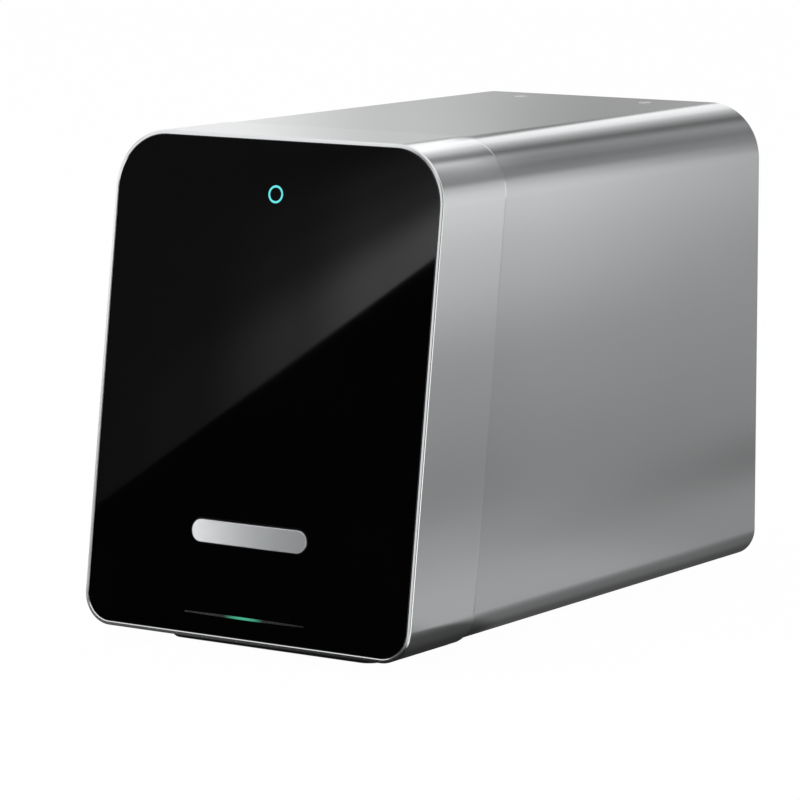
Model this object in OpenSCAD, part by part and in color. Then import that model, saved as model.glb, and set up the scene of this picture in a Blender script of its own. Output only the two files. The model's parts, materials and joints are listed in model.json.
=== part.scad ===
// Phosphor plate scanner: a leaning black glass front in an aluminium collar, an
// aluminium sleeve behind it, and a motor driven plate tray that slides out of the glass.
// Millimetres. +Z is up, the front faces -Y, and z = 0 is the surface it stands on.

/* [Body] */
// Width of the body across the collar
body_w = 120; // [110:1:140]
// Height of the collar, without the feet
body_h = 150; // [140:1:170]
// Depth from the front bottom edge to the rear edge
body_d = 205; // [198:1:240]
// Angle that the front leans back from upright, in degrees
lean = 8; // [5:0.5:10]
// Radius of the two upper long corners
r_top = 18; // [14:0.5:24]
// Radius of the two lower long corners
r_bot = 10; // [8:0.5:12]
// Wall of the sleeve
shell_t = 2; // [1.6:0.1:2.6]
// How far the collar stands proud of the sleeve
collar_step = 0.3; // [0.2:0.05:0.6]
// How far the collar reaches below the sleeve
chin = 0.9; // [0.7:0.1:1.2]
// Depth of the collar, square to the glass
collar_d = 33.7; // [30:0.1:36]

/* [Glass front] */
// Width of the metal rim around the glass
rim_w = 1.3; // [1:0.1:1.8]
// Depth of the glass face behind the rim
glass_in = 0.25; // [0.1:0.05:0.5]
// Thickness of the glass
glass_t = 3; // [2.5:0.1:4]
// Width of the ledge that the glass rests on, from the outside
ledge_w = 4.5; // [3.5:0.1:5]
// Thickness of that ledge
ledge_t = 3; // [2:0.1:4]
// Outer diameter of the power ring
ring_d = 5.4; // [4:0.1:8]
// Line width of the power ring
ring_line = 0.7; // [0.5:0.05:1]
// Depth of the power ring in the glass
ring_deep = 0.4; // [0.3:0.05:0.6]
// Distance of the power ring's centre below the collar's top, along the glass
ring_down = 17.1; // [15:0.1:40]
// Length of the status light
bar_l = 44; // [30:1:60]
// Height of the status light
bar_h = 1.2; // [0.8:0.1:2]
// Height of the status light up the glass
bar_up = 7.5; // [7.5:0.1:9]

/* [Tray] */
// Width of the tray's pill shaped front
pill_w = 43; // [42:0.5:48]
// Height of the tray's pill shaped front
pill_h = 7.6; // [7.4:0.1:9]
// Height of the tray's front up from the collar's lowest edge
pill_up = 32; // [31.8:0.1:36]
// How far the tray's front stands proud of the rim
pill_proud = 0.6; // [0:0.1:1]
// Gap around the tray's front
pill_gap = 0.3; // [0.25:0.05:0.5]
// Travel of the tray
tray_travel = 70; // [64:1:72]
// How far the tray's sides sit inside its front
tray_in = 2.5; // [2.3:0.1:4]
// Height of the tray
tray_h = 5; // [4.5:0.1:5.2]
// Thickness of the floor under the plate
tray_floor = 1.4; // [1.2:0.1:1.8]
// Width of the pocket that a plate lies in
pocket_w = 32.4; // [24:0.2:34]
// Length of the pocket that a plate lies in
pocket_l = 42.4; // [36:0.2:43]

/* [Drive] */
// Diameter of the guide rods
rod_d = 5; // [4:0.5:6]
// Distance between the guide rods
rod_span = 52; // [46:1:56]
// Diameter of the lead screw
screw_d = 6; // [5:0.5:7]
// Radial running clearance of rods, screw and pins
run_gap = 0.05; // [0.02:0.01:0.1]
// Side of the square drive motor
motor_w = 28; // [26:0.5:29]
// Length of the drive motor
motor_l = 28; // [26:0.5:33]

/* [Optics] */
// Height of the optics deck above the chassis floor
deck_up = 75; // [74:1:84]
// Diameter of the light detector tube
tube_d = 25; // [20:1:26]
// Diameter of the laser module
laser_d = 12; // [8:0.5:13]

/* [Rear] */
// Thickness of the rear panel
panel_t = 3; // [2.5:0.1:4]
// Gap between the rear panel and the sleeve
panel_gap = 0.2; // [0.1:0.05:0.4]
// Distance between the two screws on top
top_screw_span = 48; // [30:1:70]
// Diameter of a top screw's head
top_screw_d = 4.6; // [4:0.1:6]

/* [Feet] */
// Height of the feet under the collar
foot_h = 4.5; // [4:0.1:5.5]
// Length of a foot bar across the body
foot_l = 77; // [66:1:84]
// Width of a foot bar
foot_w = 11; // [9:0.5:11]
// How far the front foot sits behind the front edge
foot_back = 14; // [10:0.5:14]

/* [Hidden] */
$fn = 64;

// Size of the cutting blocks, how far cuts run past a face, and how far joined shapes lap
big = 600;
cut = 1;
lap = 0.1;
z0 = foot_h;
y_front = -body_d / 2;
y_rear = body_d / 2;
seat = glass_in + glass_t;
fit = 0.02;
drop = chin - collar_step;
wall_in = collar_step + shell_t;
floor_z = z0 + chin + shell_t;
sleeve_top = z0 + body_h - collar_step;
roof_z = sleeve_top - shell_t;
function front_y(z) = y_front + (z - z0) * tan(lean);

ring_up = body_h / cos(lean) - ring_down;

// Tray
pill_z = z0 + pill_up;
pill_t = 3.2;
pill_back = front_y(pill_z) + pill_t;
tray_w = pill_w - 2 * tray_in;
tray_drop = 3.1;
tray_z = pill_z - tray_drop;
tray_top = tray_z + tray_h;
scan_back = 29;
scan_y = y_front + scan_back;
scan_margin = 3;
pocket_y = scan_y + scan_margin;

// Drive, from the front rod block back to the motor
sheet_t = 2;
deck_floor = floor_z + sheet_t;
motor_lift = 0.6;
drive_up = motor_w / 2 + motor_lift;
drive_z = deck_floor + drive_up;
block_back = 12;
block_t = 5;
block_edge = 10;
block_w = rod_span + 2 * block_edge;
bearing_wall = 2.5;
bearing_r = screw_d / 2 + bearing_wall;
block_h = drive_up + bearing_r + motor_lift;
front_block_y = y_front + block_back;
stop_gap = 2;
carriage_l = 18;
carriage_edge = 7;
carriage_w = rod_span + 2 * carriage_edge;
carriage_h = 10;
carriage_y = front_block_y + block_t + stop_gap + tray_travel;
tray_back = carriage_y + carriage_l;
nut_wall = 2;
nut_r = screw_d / 2 + nut_wall;
nut_flange = 3;
nut_flange_t = 3;
rear_block_y = tray_back + nut_flange_t + stop_gap;
rear_block_end = rear_block_y + block_t;
coupler_y = rear_block_end + stop_gap;
coupler_l = 12;
coupler_r = 7.5;
screw_end = coupler_y + coupler_l / 2;
shaft_d = 5;
shaft_gap = 0.5;
bracket_y = coupler_y + coupler_l + stop_gap;
bracket_t = 2.5;
bracket_edge = 6;
bracket_foot = 8;
bracket_w = motor_w + 2 * bracket_edge;
bracket_h = drive_up + motor_w / 2 + bracket_t;
motor_y = bracket_y + bracket_t;
pilot_r = 11;
bolt_in = 2.5;
bolt_l = 4;
motor_bolt = motor_w - 2 * bolt_in;

// Chassis and optics
chassis_side = 3;
chassis_w = body_w - 2 * (r_bot + chassis_side);
chassis_back = 11;
chassis_y0 = y_front + chassis_back;
bulkhead_in = 16.5;
bulkhead_y = y_rear - bulkhead_in;
deck_lead = 6.5;
deck_l = 108;
deck_lip = 2;
deck_y0 = scan_y - deck_lead;
wall_y0 = deck_y0 + deck_lip;
wall_y1 = deck_y0 + deck_l;
flange_w = 6;
deck_z = deck_floor + deck_up;
deck_t = 3;
deck_top = deck_z + deck_t;
beam_up = 12;
beam_back = 1;
beam_z = deck_top + beam_up;
galvo_back = 74;
galvo_y = scan_y + galvo_back;
galvo_r = 8;
lens_w = 54;
lens_t = 8;
lens_back = 36;
lens_y = scan_y + lens_back;
mirror_w = 52;
mirror_l = 20;
mirror_t = 2;
cheek_t = 4;
cheek_l = 18;
tube_wall = 3;
tube_side = 3.5;
housing_back = 10;
housing_y0 = scan_y + housing_back;
housing_y1 = housing_y0 + tube_d + 2 * tube_side;
tube_l = 62;
tube_end = 5;
housing_w = tube_l + 2 * tube_end;
housing_z = deck_z - tube_d - 2 * tube_wall;
guide_gap = 2.6;
guide_w = 44;
guide_foot = 6;
guide_head = 12;
board_t = 1.6;
board_side = 7;
board_w = chassis_w - 2 * board_side;
board_h = 74;
board_up = 39;
board_z0 = deck_floor + board_up;
board_z1 = board_z0 + board_h;
standoff_l = 6;
bulkhead_over = 4;
bulkhead_z = board_z1 + bulkhead_over;
screw_r = 1.25;
head_r = 2.2;
head_t = 1.4;

// Rear panel and what sits in it
panel_in = 0.5;
panel_y1 = y_rear - panel_in;
panel_y0 = panel_y1 - panel_t;
port_proud = 0.1;
port_face = panel_y1 + port_proud;
post_r = 4;
post_in = 7;
post_x = chassis_w / 2 - post_in;
post_up = [50, 108];
post_z = [z0 + post_up[0], z0 + post_up[1]];
port_up = 26;
port_z = z0 + port_up;
port_room = 3;
inlet_x = -30;
inlet_r = 5.5;
usb_x = -6;
usb_w = 12;
usb_h = 11;
switch_x = 24;
switch_w = 15;
switch_h = 21;
port_l = 13;
rocker_w = 9.6;
rocker_h = 16;
rocker_gap = 0.3;
rocker_swing = 1.4;
rocker_pin_r = 1;
rocker_in = 4;
rocker_y = y_rear - rocker_in;
rocker_tilt = 7;
top_screw_in = 13;
top_screw_y = y_rear - top_screw_in;
tab_w = 10;
tab_h = 6;

// Outline of the body's section: g is the inset at the sides and top, gb at the bottom.
module section(g, gb) {
  w = body_w - 2 * g;
  rt = r_top - g;
  rb = r_bot - gb;
  high = body_h - g;
  translate([-w / 2, gb + rb]) square([w, high - gb - rb - rt]);
  translate([-w / 2 + rb, gb]) square([w - 2 * rb, rb]);
  translate([-w / 2 + rt, high - rt]) square([w - 2 * rt, rt]);
  for (s = [-1, 1]) {
    translate([s * (w / 2 - rb), gb + rb]) circle(rb);
    translate([s * (w / 2 - rt), high - rt]) circle(rt);
  }
}

// A flat outline in x and z, run along Y from ya to yb.
module along_y(ya, yb, z = 0) {
  translate([0, yb, z]) rotate([90, 0, 0]) linear_extrude(yb - ya) children();
}

// The leaning frame of the front: y runs square into the glass, z runs up it.
module on_front() {
  translate([0, y_front, z0]) rotate([-lean, 0, 0]) children();
}

// All that lies between two depths behind the front plane.
module slab(da, db) {
  on_front() translate([-big / 2, da, -big / 2]) cube([big, db - da, big]);
}

// A prism of the body's section between two depths behind the front plane.
module front_prism(g, gb, da, db) {
  intersection() {
    along_y(y_front - pill_t, y_rear, z0) section(g, gb);
    slab(da, db);
  }
}

// A box given by its lowest and highest corners.
module box(lo, hi) {
  translate(lo) cube(hi - lo);
}

// A round bar along Y.
module rod_y(r, ya, yb, x = 0, z = 0) {
  translate([x, yb, z]) rotate([90, 0, 0]) cylinder(r = r, h = yb - ya);
}

// A round bar along X.
module rod_x(r, xa, xb, y = 0, z = 0) {
  translate([xa, y, z]) rotate([0, 90, 0]) cylinder(r = r, h = xb - xa);
}

// The pill outline grown by g.
module pill(g) {
  r = pill_h / 2 + g;
  half = pill_w / 2 + g - r;
  translate([-half, -r]) square([2 * half, 2 * r]);
  for (s = [-1, 1]) translate([s * half, 0]) circle(r);
}

// A flat bar with round corners, seen from above.
module round_bar(l, w, r, h) {
  translate([-l / 2 + r, -w / 2, 0]) cube([l - 2 * r, w, h]);
  translate([-l / 2, -w / 2 + r, 0]) cube([l, w - 2 * r, h]);
  for (x = [-1, 1], y = [-1, 1])
    translate([x * (l / 2 - r), y * (w / 2 - r), 0]) cylinder(r = r, h = h);
}

// Places children at both signs of x.
module both(x) {
  for (s = [-1, 1]) translate([s * x, 0, 0]) children();
}

// Feet, their screws and the holes that the screws need
rear_foot_in = 28;
foot_y = [y_front + foot_back + foot_w / 2, y_rear - rear_foot_in];
foot_flat = 0.1;
foot_r = foot_w / 2 - foot_flat;
foot_screw_x = 24;
foot_head_r = 3;
foot_head_z = 1.2;
foot_head_t = 1.8;
foot_shank_r = 1.5;
foot_shank_over = 1;
foot_head_gap = 0.1;
shell_hole_gap = 0.2;
module foot_screw_holes(g) {
  for (y = foot_y) both(foot_screw_x) translate([0, y, -cut])
    cylinder(r = foot_shank_r + g, h = deck_floor + foot_shank_over + 2 * cut);
}

// Keeps the collar's full depth, but lifts its underside by the chin just before the seam.
chin_run = 6;
chin_end = 2.2;
module chin_shape() {
  y1 = y_front + collar_d - chin_end - chin_run;
  r = (chin_run * chin_run + chin * chin) / (2 * chin);
  box([-big / 2, -big / 2, -big / 2], [big / 2, y1, big / 2]);
  box([-big / 2, -big / 2, z0 + chin], [big / 2, y_rear, big / 2]);
  rod_x(r, -big / 2, big / 2, y1, z0 + r);
}

// Aluminium collar with the glass seat, its ledge and the spigot that enters the sleeve.
spigot_t = 1.6;
spigot_l = 6;
spigot_root = 3;
spigot_gap = 0.15;
spigot_from = 16;
module front_collar() {
  color("silver") difference() {
    union() {
      intersection() {
        front_prism(0, 0, 0, collar_d);
        chin_shape();
      }
      collar_spigot();
    }
    front_prism(rim_w, rim_w, -pill_t, seat);
    front_prism(ledge_w, ledge_w, 0, seat + ledge_t + lap);
    difference() {
      front_prism(wall_in, wall_in + drop, seat + ledge_t, collar_d + cut);
      collar_spigot();
    }
    foot_screw_holes(shell_hole_gap);
  }
}

module collar_spigot() {
  deep = wall_in + spigot_gap + spigot_t;
  difference() {
    union() {
      front_prism(wall_in - lap, wall_in, collar_d - spigot_root, collar_d);
      front_prism(wall_in + spigot_gap, wall_in, collar_d - lap, collar_d + spigot_l);
    }
    front_prism(deep, wall_in, collar_d - spigot_root - cut, collar_d + spigot_l + cut);
    box([-big / 2, -big / 2, -big / 2], [big / 2, big / 2, z0 + spigot_from]);
  }
}

// Black glass with the tray's opening, the ring's groove and the light's slot.
glass_gap = 0.1;
module glass_panel() {
  color("black") difference() {
    front_prism(rim_w + glass_gap, rim_w + glass_gap, glass_in, seat);
    along_y(y_front - pill_t, y_front + collar_d, pill_z) pill(pill_gap);
    ring_shape(fit, -cut, glass_in + ring_deep);
    on_front() translate([-bar_l / 2, -cut, bar_up - bar_h / 2])
      cube([bar_l, seat + 2 * cut, bar_h]);
  }
}

module ring_shape(g, da, db) {
  on_front() difference() {
    rod_y(ring_d / 2 + g, da, db, 0, ring_up);
    rod_y(ring_d / 2 - ring_line - g, da - cut, db + cut, 0, ring_up);
  }
}

// Lit ring of the touch key, let into the face of the glass.
module power_ring() {
  color("turquoise") ring_shape(0, glass_in, glass_in + ring_deep);
}

// Light guide of the status light: a bar through the glass and a flange behind it.
bar_flange = 1;
bar_flange_t = 1.2;
module status_light() {
  color("mediumseagreen") on_front() {
    translate([-bar_l / 2 + fit, glass_in, bar_up - bar_h / 2 + fit])
      cube([bar_l - 2 * fit, glass_t + lap, bar_h - 2 * fit]);
    translate([-bar_l / 2 - bar_flange, seat, bar_up - bar_h / 2 - bar_flange])
      cube([bar_l + 2 * bar_flange, bar_flange_t, bar_h + 2 * bar_flange]);
  }
}

// Touch sensor board behind the ring.
touch_w = 28;
touch_h = 20;
module touch_board() {
  color("darkgreen") on_front()
    translate([-touch_w / 2, seat, ring_up - touch_h / 2]) cube([touch_w, board_t, touch_h]);
}

// Lamp board behind the status light.
light_board_h = 4.4;
light_board_end = 3;
light_board_lift = 0.4;
module light_board() {
  color("darkgreen") on_front()
    translate([-bar_l / 2 - light_board_end, seat + bar_flange_t,
        bar_up - light_board_h / 2 + light_board_lift])
      cube([bar_l + 2 * light_board_end, board_t, light_board_h]);
}

// Felt ring behind the glass that keeps light out of the tray's opening.
seal_w = 3.5;
seal_t = 2;
module slot_seal() {
  color("dimgray") intersection() {
    along_y(y_front, y_front + collar_d, pill_z) difference() {
      pill(pill_gap + seal_w);
      pill(pill_gap);
    }
    slab(seat, seat + seal_t);
  }
}

// Pill shaped aluminium front of the tray.
module tray_front() {
  color("silver") intersection() {
    along_y(y_front - pill_t, pill_back, pill_z) pill(0);
    slab(-pill_proud, collar_d);
  }
}

// Tray with the pocket that a plate lies in.
notch_r = 8;
module plate_tray() {
  floor_top = tray_z + tray_floor;
  color("dimgray") difference() {
    box([-tray_w / 2, pill_back, tray_z], [tray_w / 2, tray_back, tray_top]);
    box([-pocket_w / 2, pocket_y, floor_top], [pocket_w / 2, pocket_y + pocket_l, tray_top + cut]);
    translate([0, pocket_y, floor_top]) cylinder(r = notch_r, h = tray_h);
    tray_screw_shapes(run_gap);
    magnet_shapes(run_gap);
  }
}

// Magnets under the plate, flush with the pocket's floor.
magnet_r = 3;
magnet_t = 0.9;
module magnet_shapes(g) {
  for (k = [0.25, 0.75])
    translate([0, pocket_y + pocket_l * k, tray_z + tray_floor - magnet_t])
      cylinder(r = magnet_r + g, h = magnet_t);
}
module tray_magnets() {
  color("lightgray") magnet_shapes(0);
}

// Carriage that runs on the guide rods and carries the tray.
boss_side = 3;
boss_w = tray_w - 2 * boss_side;
carriage_z = drive_z - carriage_h / 2;
module tray_carriage() {
  color("darkslategray") difference() {
    union() {
      box([-carriage_w / 2, carriage_y, carriage_z],
        [carriage_w / 2, tray_back, carriage_z + carriage_h]);
      box([-boss_w / 2, carriage_y, carriage_z], [boss_w / 2, tray_back, tray_z]);
    }
    both(rod_span / 2) rod_y(rod_d / 2 + run_gap, carriage_y - cut, tray_back + cut, 0, drive_z);
    rod_y(nut_r + fit, carriage_y - cut, tray_back + cut, 0, drive_z);
    tray_screw_shapes(fit);
  }
}

// Two screws that hold the tray on the carriage.
tray_screw_l = 4;
tray_screw_in = 4;
module tray_screw_shapes(g) {
  both(boss_w / 2 - tray_screw_in) translate([0, (carriage_y + tray_back) / 2, 0]) {
    translate([0, 0, tray_top - head_t - g]) cylinder(r = head_r + g, h = head_t + 2 * g);
    translate([0, 0, tray_z - tray_screw_l])
      cylinder(r = screw_r + g, h = tray_h + tray_screw_l - head_t);
  }
}
module tray_screws() {
  color("gray") tray_screw_shapes(0);
}

// Two steel rods that guide the carriage.
module guide_rods() {
  color("lightsteelblue") both(rod_span / 2)
    rod_y(rod_d / 2, front_block_y, rear_block_end, 0, drive_z);
}

// Block that holds the rods' and the screw's ends, standing on the chassis.
module rod_block(y) {
  difference() {
    box([-block_w / 2, y, deck_floor], [block_w / 2, y + block_t, deck_floor + block_h]);
    both(rod_span / 2) rod_y(rod_d / 2 + fit, y - cut, y + block_t + cut, 0, drive_z);
    rod_y(bearing_r + fit, y - cut, y + block_t + cut, 0, drive_z);
  }
}
module front_rod_block() {
  color("gainsboro") rod_block(front_block_y);
}
module rear_rod_block() {
  color("gainsboro") rod_block(rear_block_y);
}

// Plain bearings of the lead screw, one in each block.
module screw_bearings() {
  color("goldenrod") for (y = [front_block_y, rear_block_y]) difference() {
    rod_y(bearing_r, y, y + block_t, 0, drive_z);
    rod_y(screw_d / 2 + run_gap, y - cut, y + block_t + cut, 0, drive_z);
  }
}

// Lead screw, its thread drawn as a plain bar.
screw_in = 1;
module lead_screw() {
  color("silver") rod_y(screw_d / 2, front_block_y + screw_in, screw_end, 0, drive_z);
}

// Flanged bronze nut in the carriage.
module lead_nut() {
  color("peru") difference() {
    union() {
      rod_y(nut_r, carriage_y, tray_back + lap, 0, drive_z);
      rod_y(nut_r + nut_flange, tray_back, tray_back + nut_flange_t, 0, drive_z);
    }
    rod_y(screw_d / 2 + run_gap, carriage_y - cut, tray_back + nut_flange_t + cut, 0, drive_z);
  }
}

// Coupler between the screw and the motor's shaft.
module shaft_coupler() {
  color("silver") difference() {
    rod_y(coupler_r, coupler_y, coupler_y + coupler_l, 0, drive_z);
    rod_y(screw_d / 2 + fit, coupler_y - cut, screw_end, 0, drive_z);
    rod_y(shaft_d / 2 + fit, screw_end - cut, coupler_y + coupler_l + cut, 0, drive_z);
  }
}
shaft_in = 12;
module motor_shaft() {
  color("silver") rod_y(shaft_d / 2, screw_end + shaft_gap, motor_y + shaft_in, 0, drive_z);
}

// Square stepper motor with its pilot and shaft bore.
motor_round = 0.64;
module drive_motor() {
  color("dimgray") difference() {
    union() {
      intersection() {
        box([-motor_w / 2, motor_y, drive_z - motor_w / 2],
          [motor_w / 2, motor_y + motor_l, drive_z + motor_w / 2]);
        rod_y(motor_w * motor_round, motor_y, motor_y + motor_l, 0, drive_z);
      }
      rod_y(pilot_r, motor_y - bracket_t + shaft_gap, motor_y + lap, 0, drive_z);
    }
    rod_y(shaft_d / 2 + run_gap, motor_y - bracket_t, motor_y + shaft_in + cut, 0, drive_z);
    motor_bolts(fit);
  }
}

// Upright plate that holds the motor, with a foot on the chassis.
module motor_bracket() {
  color("gainsboro") difference() {
    union() {
      box([-bracket_w / 2, bracket_y, deck_floor], [bracket_w / 2, motor_y, deck_floor + bracket_h]);
      box([-bracket_w / 2, bracket_y - bracket_foot, deck_floor],
        [bracket_w / 2, motor_y, deck_floor + sheet_t]);
    }
    rod_y(pilot_r + fit, bracket_y - cut, motor_y + cut, 0, drive_z);
    motor_bolts(fit);
  }
}

// Four screws through the bracket into the motor.
module motor_bolts(g) {
  for (x = [-1, 1], z = [-1, 1]) {
    rod_y(screw_r + g, bracket_y - g, motor_y + bolt_l, x * motor_bolt / 2, drive_z + z * motor_bolt / 2);
    rod_y(head_r, bracket_y - head_t, bracket_y, x * motor_bolt / 2, drive_z + z * motor_bolt / 2);
  }
}
module motor_screws() {
  color("gray") motor_bolts(0);
}

// Sheet steel chassis: floor, two flanged side walls and the rear bulkhead.
module chassis() {
  half = chassis_w / 2;
  color("lightgray") difference() {
    union() {
      box([-half, chassis_y0, floor_z], [half, bulkhead_y + sheet_t, deck_floor]);
      for (x = [-half, half - sheet_t])
        box([x, wall_y0, floor_z], [x + sheet_t, wall_y1, deck_z]);
      for (x = [-half, half - flange_w])
        box([x, wall_y0, deck_z - sheet_t], [x + flange_w, wall_y1, deck_z]);
      box([-half, bulkhead_y, floor_z], [half, bulkhead_y + sheet_t, bulkhead_z]);
    }
    foot_screw_holes(fit);
    panel_screw_shapes(fit);
    deck_screw_shapes(fit);
    standoff_holes();
    box([inlet_x - inlet_r - port_room, bulkhead_y - cut, port_z - switch_h / 2 - port_room],
      [switch_x + switch_w / 2 + port_room, bulkhead_y + sheet_t + cut, port_z + switch_h / 2 + port_room]);
  }
}

// Deck across the chassis walls that carries the optics.
slot_w = 48;
slot_lead = 4;
slot_l = 10;
slot_y = [scan_y - slot_lead, scan_y - slot_lead + slot_l];
module optics_deck() {
  half = chassis_w / 2;
  color("slategray") difference() {
    box([-half, deck_y0, deck_z], [half, wall_y1, deck_top]);
    box([-slot_w / 2, slot_y[0], deck_z - cut], [slot_w / 2, slot_y[1], deck_top + cut]);
    translate([0, galvo_y, deck_z - cut]) cylinder(r = galvo_r + fit, h = deck_t + 2 * cut);
    deck_screw_shapes(fit);
  }
}

// Screws through the deck's corners into the chassis flanges.
deck_screw_in = 4;
deck_screw_end = 8;
deck_screw_over = 1;
module deck_screw_shapes(g) {
  low = deck_z - sheet_t - deck_screw_over;
  for (x = [-1, 1], y = [wall_y0 + deck_screw_end, wall_y1 - deck_screw_end])
    translate([x * (chassis_w / 2 - deck_screw_in), y, 0]) {
      translate([0, 0, deck_top]) cylinder(r = head_r, h = head_t);
      translate([0, 0, low - g]) cylinder(r = screw_r + g, h = deck_top - low + 2 * g);
    }
}
module deck_screws() {
  color("gray") deck_screw_shapes(0);
}

// Laser module and its clamp block.
laser_x = [14, 44];
clamp_x = [22, 36];
clamp_wall = 3;
module laser_module() {
  color("goldenrod") rod_x(laser_d / 2, laser_x[0], laser_x[1], galvo_y, beam_z);
}
module laser_clamp() {
  half = laser_d / 2 + clamp_wall;
  color("slategray") difference() {
    box([clamp_x[0], galvo_y - half, deck_top], [clamp_x[1], galvo_y + half, beam_z + half]);
    rod_x(laser_d / 2 + fit, clamp_x[0] - cut, clamp_x[1] + cut, galvo_y, beam_z);
  }
}

// Scanner motor in the deck, and the mirror that swings on its shaft.
galvo_l = 14;
galvo_flange = 3;
galvo_rim = 3;
galvo_shaft_r = 1.5;
module galvo_motor() {
  color("dimgray") translate([0, galvo_y, 0]) difference() {
    union() {
      translate([0, 0, deck_z - galvo_l]) cylinder(r = galvo_r, h = galvo_l + deck_t + lap);
      translate([0, 0, deck_top]) cylinder(r = galvo_r + galvo_rim, h = galvo_flange);
    }
    translate([0, 0, deck_z]) cylinder(r = galvo_shaft_r + run_gap, h = deck_t + galvo_flange + cut);
  }
}
mirror_plate = [13, 1.5, 11];
module galvo_mirror() {
  low = beam_z - mirror_plate[2] / 2;
  color("white") translate([0, galvo_y, 0]) rotate([0, 0, 45]) {
    translate([0, 0, deck_z + lap]) cylinder(r = galvo_shaft_r, h = low - deck_z);
    translate([-mirror_plate[0] / 2, -mirror_plate[1] / 2, low]) cube(mirror_plate);
  }
}

// Long lens that flattens the scan.
lens_r = 60;
lens_h = 18;
module scan_lens() {
  color("lightcyan") translate([0, lens_y, deck_top]) linear_extrude(lens_h) intersection() {
    translate([-lens_w / 2, -lens_t]) square([lens_w, lens_t]);
    translate([0, lens_r - lens_t]) circle(lens_r, $fn = 200);
  }
}

// Mirror that turns the scan down to the plate, between two cheeks.
module fold_mirror() {
  color("white") translate([0, scan_y + beam_back, beam_z]) rotate([45, 0, 0])
    translate([-mirror_w / 2, -mirror_l / 2, 0]) cube([mirror_w, mirror_l, mirror_t]);
}
module mirror_cheeks() {
  high = beam_z + mirror_l / 2;
  color("slategray") for (x = [-mirror_w / 2 - cheek_t, mirror_w / 2])
    translate([x, 0, 0]) rotate([90, 0, 90]) linear_extrude(cheek_t)
      polygon([[deck_y0, deck_top], [deck_y0 + cheek_l, deck_top], [deck_y0 + cheek_l, high],
        [deck_y0 + cheek_l / 2, high], [deck_y0, beam_z - cheek_t]]);
}

// Light tight housing, detector tube, light guide and erasing lamps under the deck.
tube_y = (housing_y0 + housing_y1) / 2;
tube_z = housing_z + tube_wall + tube_d / 2;
guide_rim = 2;
guide_y = scan_y + beam_back;
module detector_housing() {
  color("dimgray") difference() {
    box([-housing_w / 2, housing_y0, housing_z], [housing_w / 2, housing_y1, deck_z]);
    rod_x(tube_d / 2 + fit, -tube_l / 2 - fit, tube_l / 2 + fit, tube_y, tube_z);
    box([-guide_w / 2, housing_y0 + guide_rim, housing_z - cut],
      [guide_w / 2, housing_y0 + guide_head - guide_rim, tube_z]);
  }
}
module detector_tube() {
  color("khaki") rod_x(tube_d / 2, -tube_l / 2, tube_l / 2, tube_y, tube_z);
}
module light_guide() {
  low = tray_top + guide_gap;
  color("lightcyan") translate([-guide_w / 2, 0, 0]) rotate([90, 0, 90]) linear_extrude(guide_w)
    polygon([[guide_y, low], [guide_y + guide_foot, low], [housing_y0 + guide_head, housing_z],
      [housing_y0, housing_z]]);
}
lamp_n = 6;
lamp_step = 6;
erase_w = 40;
erase_edge = 3;
lamp_w = 3;
lamp_t = 1;
erase_y = [housing_y0 + guide_head + erase_edge, housing_y1 - erase_edge];
module erase_board() {
  low = housing_z - board_t;
  color("darkgreen") {
    box([-erase_w / 2, erase_y[0], low], [erase_w / 2, erase_y[1], housing_z]);
    for (k = [0 : lamp_n - 1])
      translate([(k - (lamp_n - 1) / 2) * lamp_step - lamp_w / 2, (erase_y[0] + erase_y[1] - lamp_w) / 2,
          low - lamp_t])
        cube([lamp_w, lamp_w, lamp_t + lap]);
  }
}

// Main board on standoffs in front of the bulkhead, with its larger components.
board_y = bulkhead_y - standoff_l - board_t;
standoff_in = 5;
standoff_x = board_w / 2 - standoff_in;
standoff_z = [board_z0 + standoff_in, board_z1 - standoff_in];
// Each component: place across and up the board, width, height, and how far it stands out.
part_boxes = [[-22, 18, 16, 16, 3], [6, 14, 12, 12, 2.5], [-26, 52, 20, 8, 9],
  [4, 52, 22, 8, 9], [24, 22, 10, 16, 11], [-8, 40, 18, 5, 4]];
module main_board() {
  color("darkgreen") difference() {
    union() {
      box([-board_w / 2, board_y, board_z0], [board_w / 2, board_y + board_t, board_z1]);
      for (p = part_boxes)
        translate([p[0], board_y - p[4], board_z0 + p[1]]) cube([p[2], p[4] + board_t / 2, p[3]]);
    }
    standoff_holes();
  }
}
standoff_r = 3;
standoff_bore = 1.6;
module standoff_holes() {
  for (z = standoff_z) both(standoff_x)
    rod_y(standoff_bore, board_y - cut, bulkhead_y + sheet_t + cut, 0, z);
}
module board_standoffs() {
  color("goldenrod") for (z = standoff_z) both(standoff_x) difference() {
    rod_y(standoff_r, board_y + board_t, bulkhead_y, 0, z);
    rod_y(standoff_bore, board_y, bulkhead_y + cut, 0, z);
  }
}

// Extruded aluminium sleeve from the seam to the rear edge.
module sleeve() {
  color("silver") difference() {
    along_y(y_front, y_rear, z0) section(collar_step, chin);
    slab(-body_d, collar_d);
    along_y(y_front - cut, y_rear + cut, z0) section(wall_in, wall_in + drop);
    foot_screw_holes(shell_hole_gap);
    top_screw_shapes(fit);
  }
}

// Two flush screws through the sleeve into the rear panel's tabs.
top_screw_l = 6;
top_head_t = 0.9;
module top_screw_shapes(g) {
  both(top_screw_span / 2) translate([0, top_screw_y, 0]) {
    translate([0, 0, sleeve_top - top_head_t - g])
      cylinder(r = top_screw_d / 2 + g, h = top_head_t + 2 * g);
    translate([0, 0, sleeve_top - top_screw_l])
      cylinder(r = screw_r + g, h = top_screw_l - top_head_t + lap);
  }
}
module top_screws() {
  color("gainsboro") top_screw_shapes(0);
}

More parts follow.
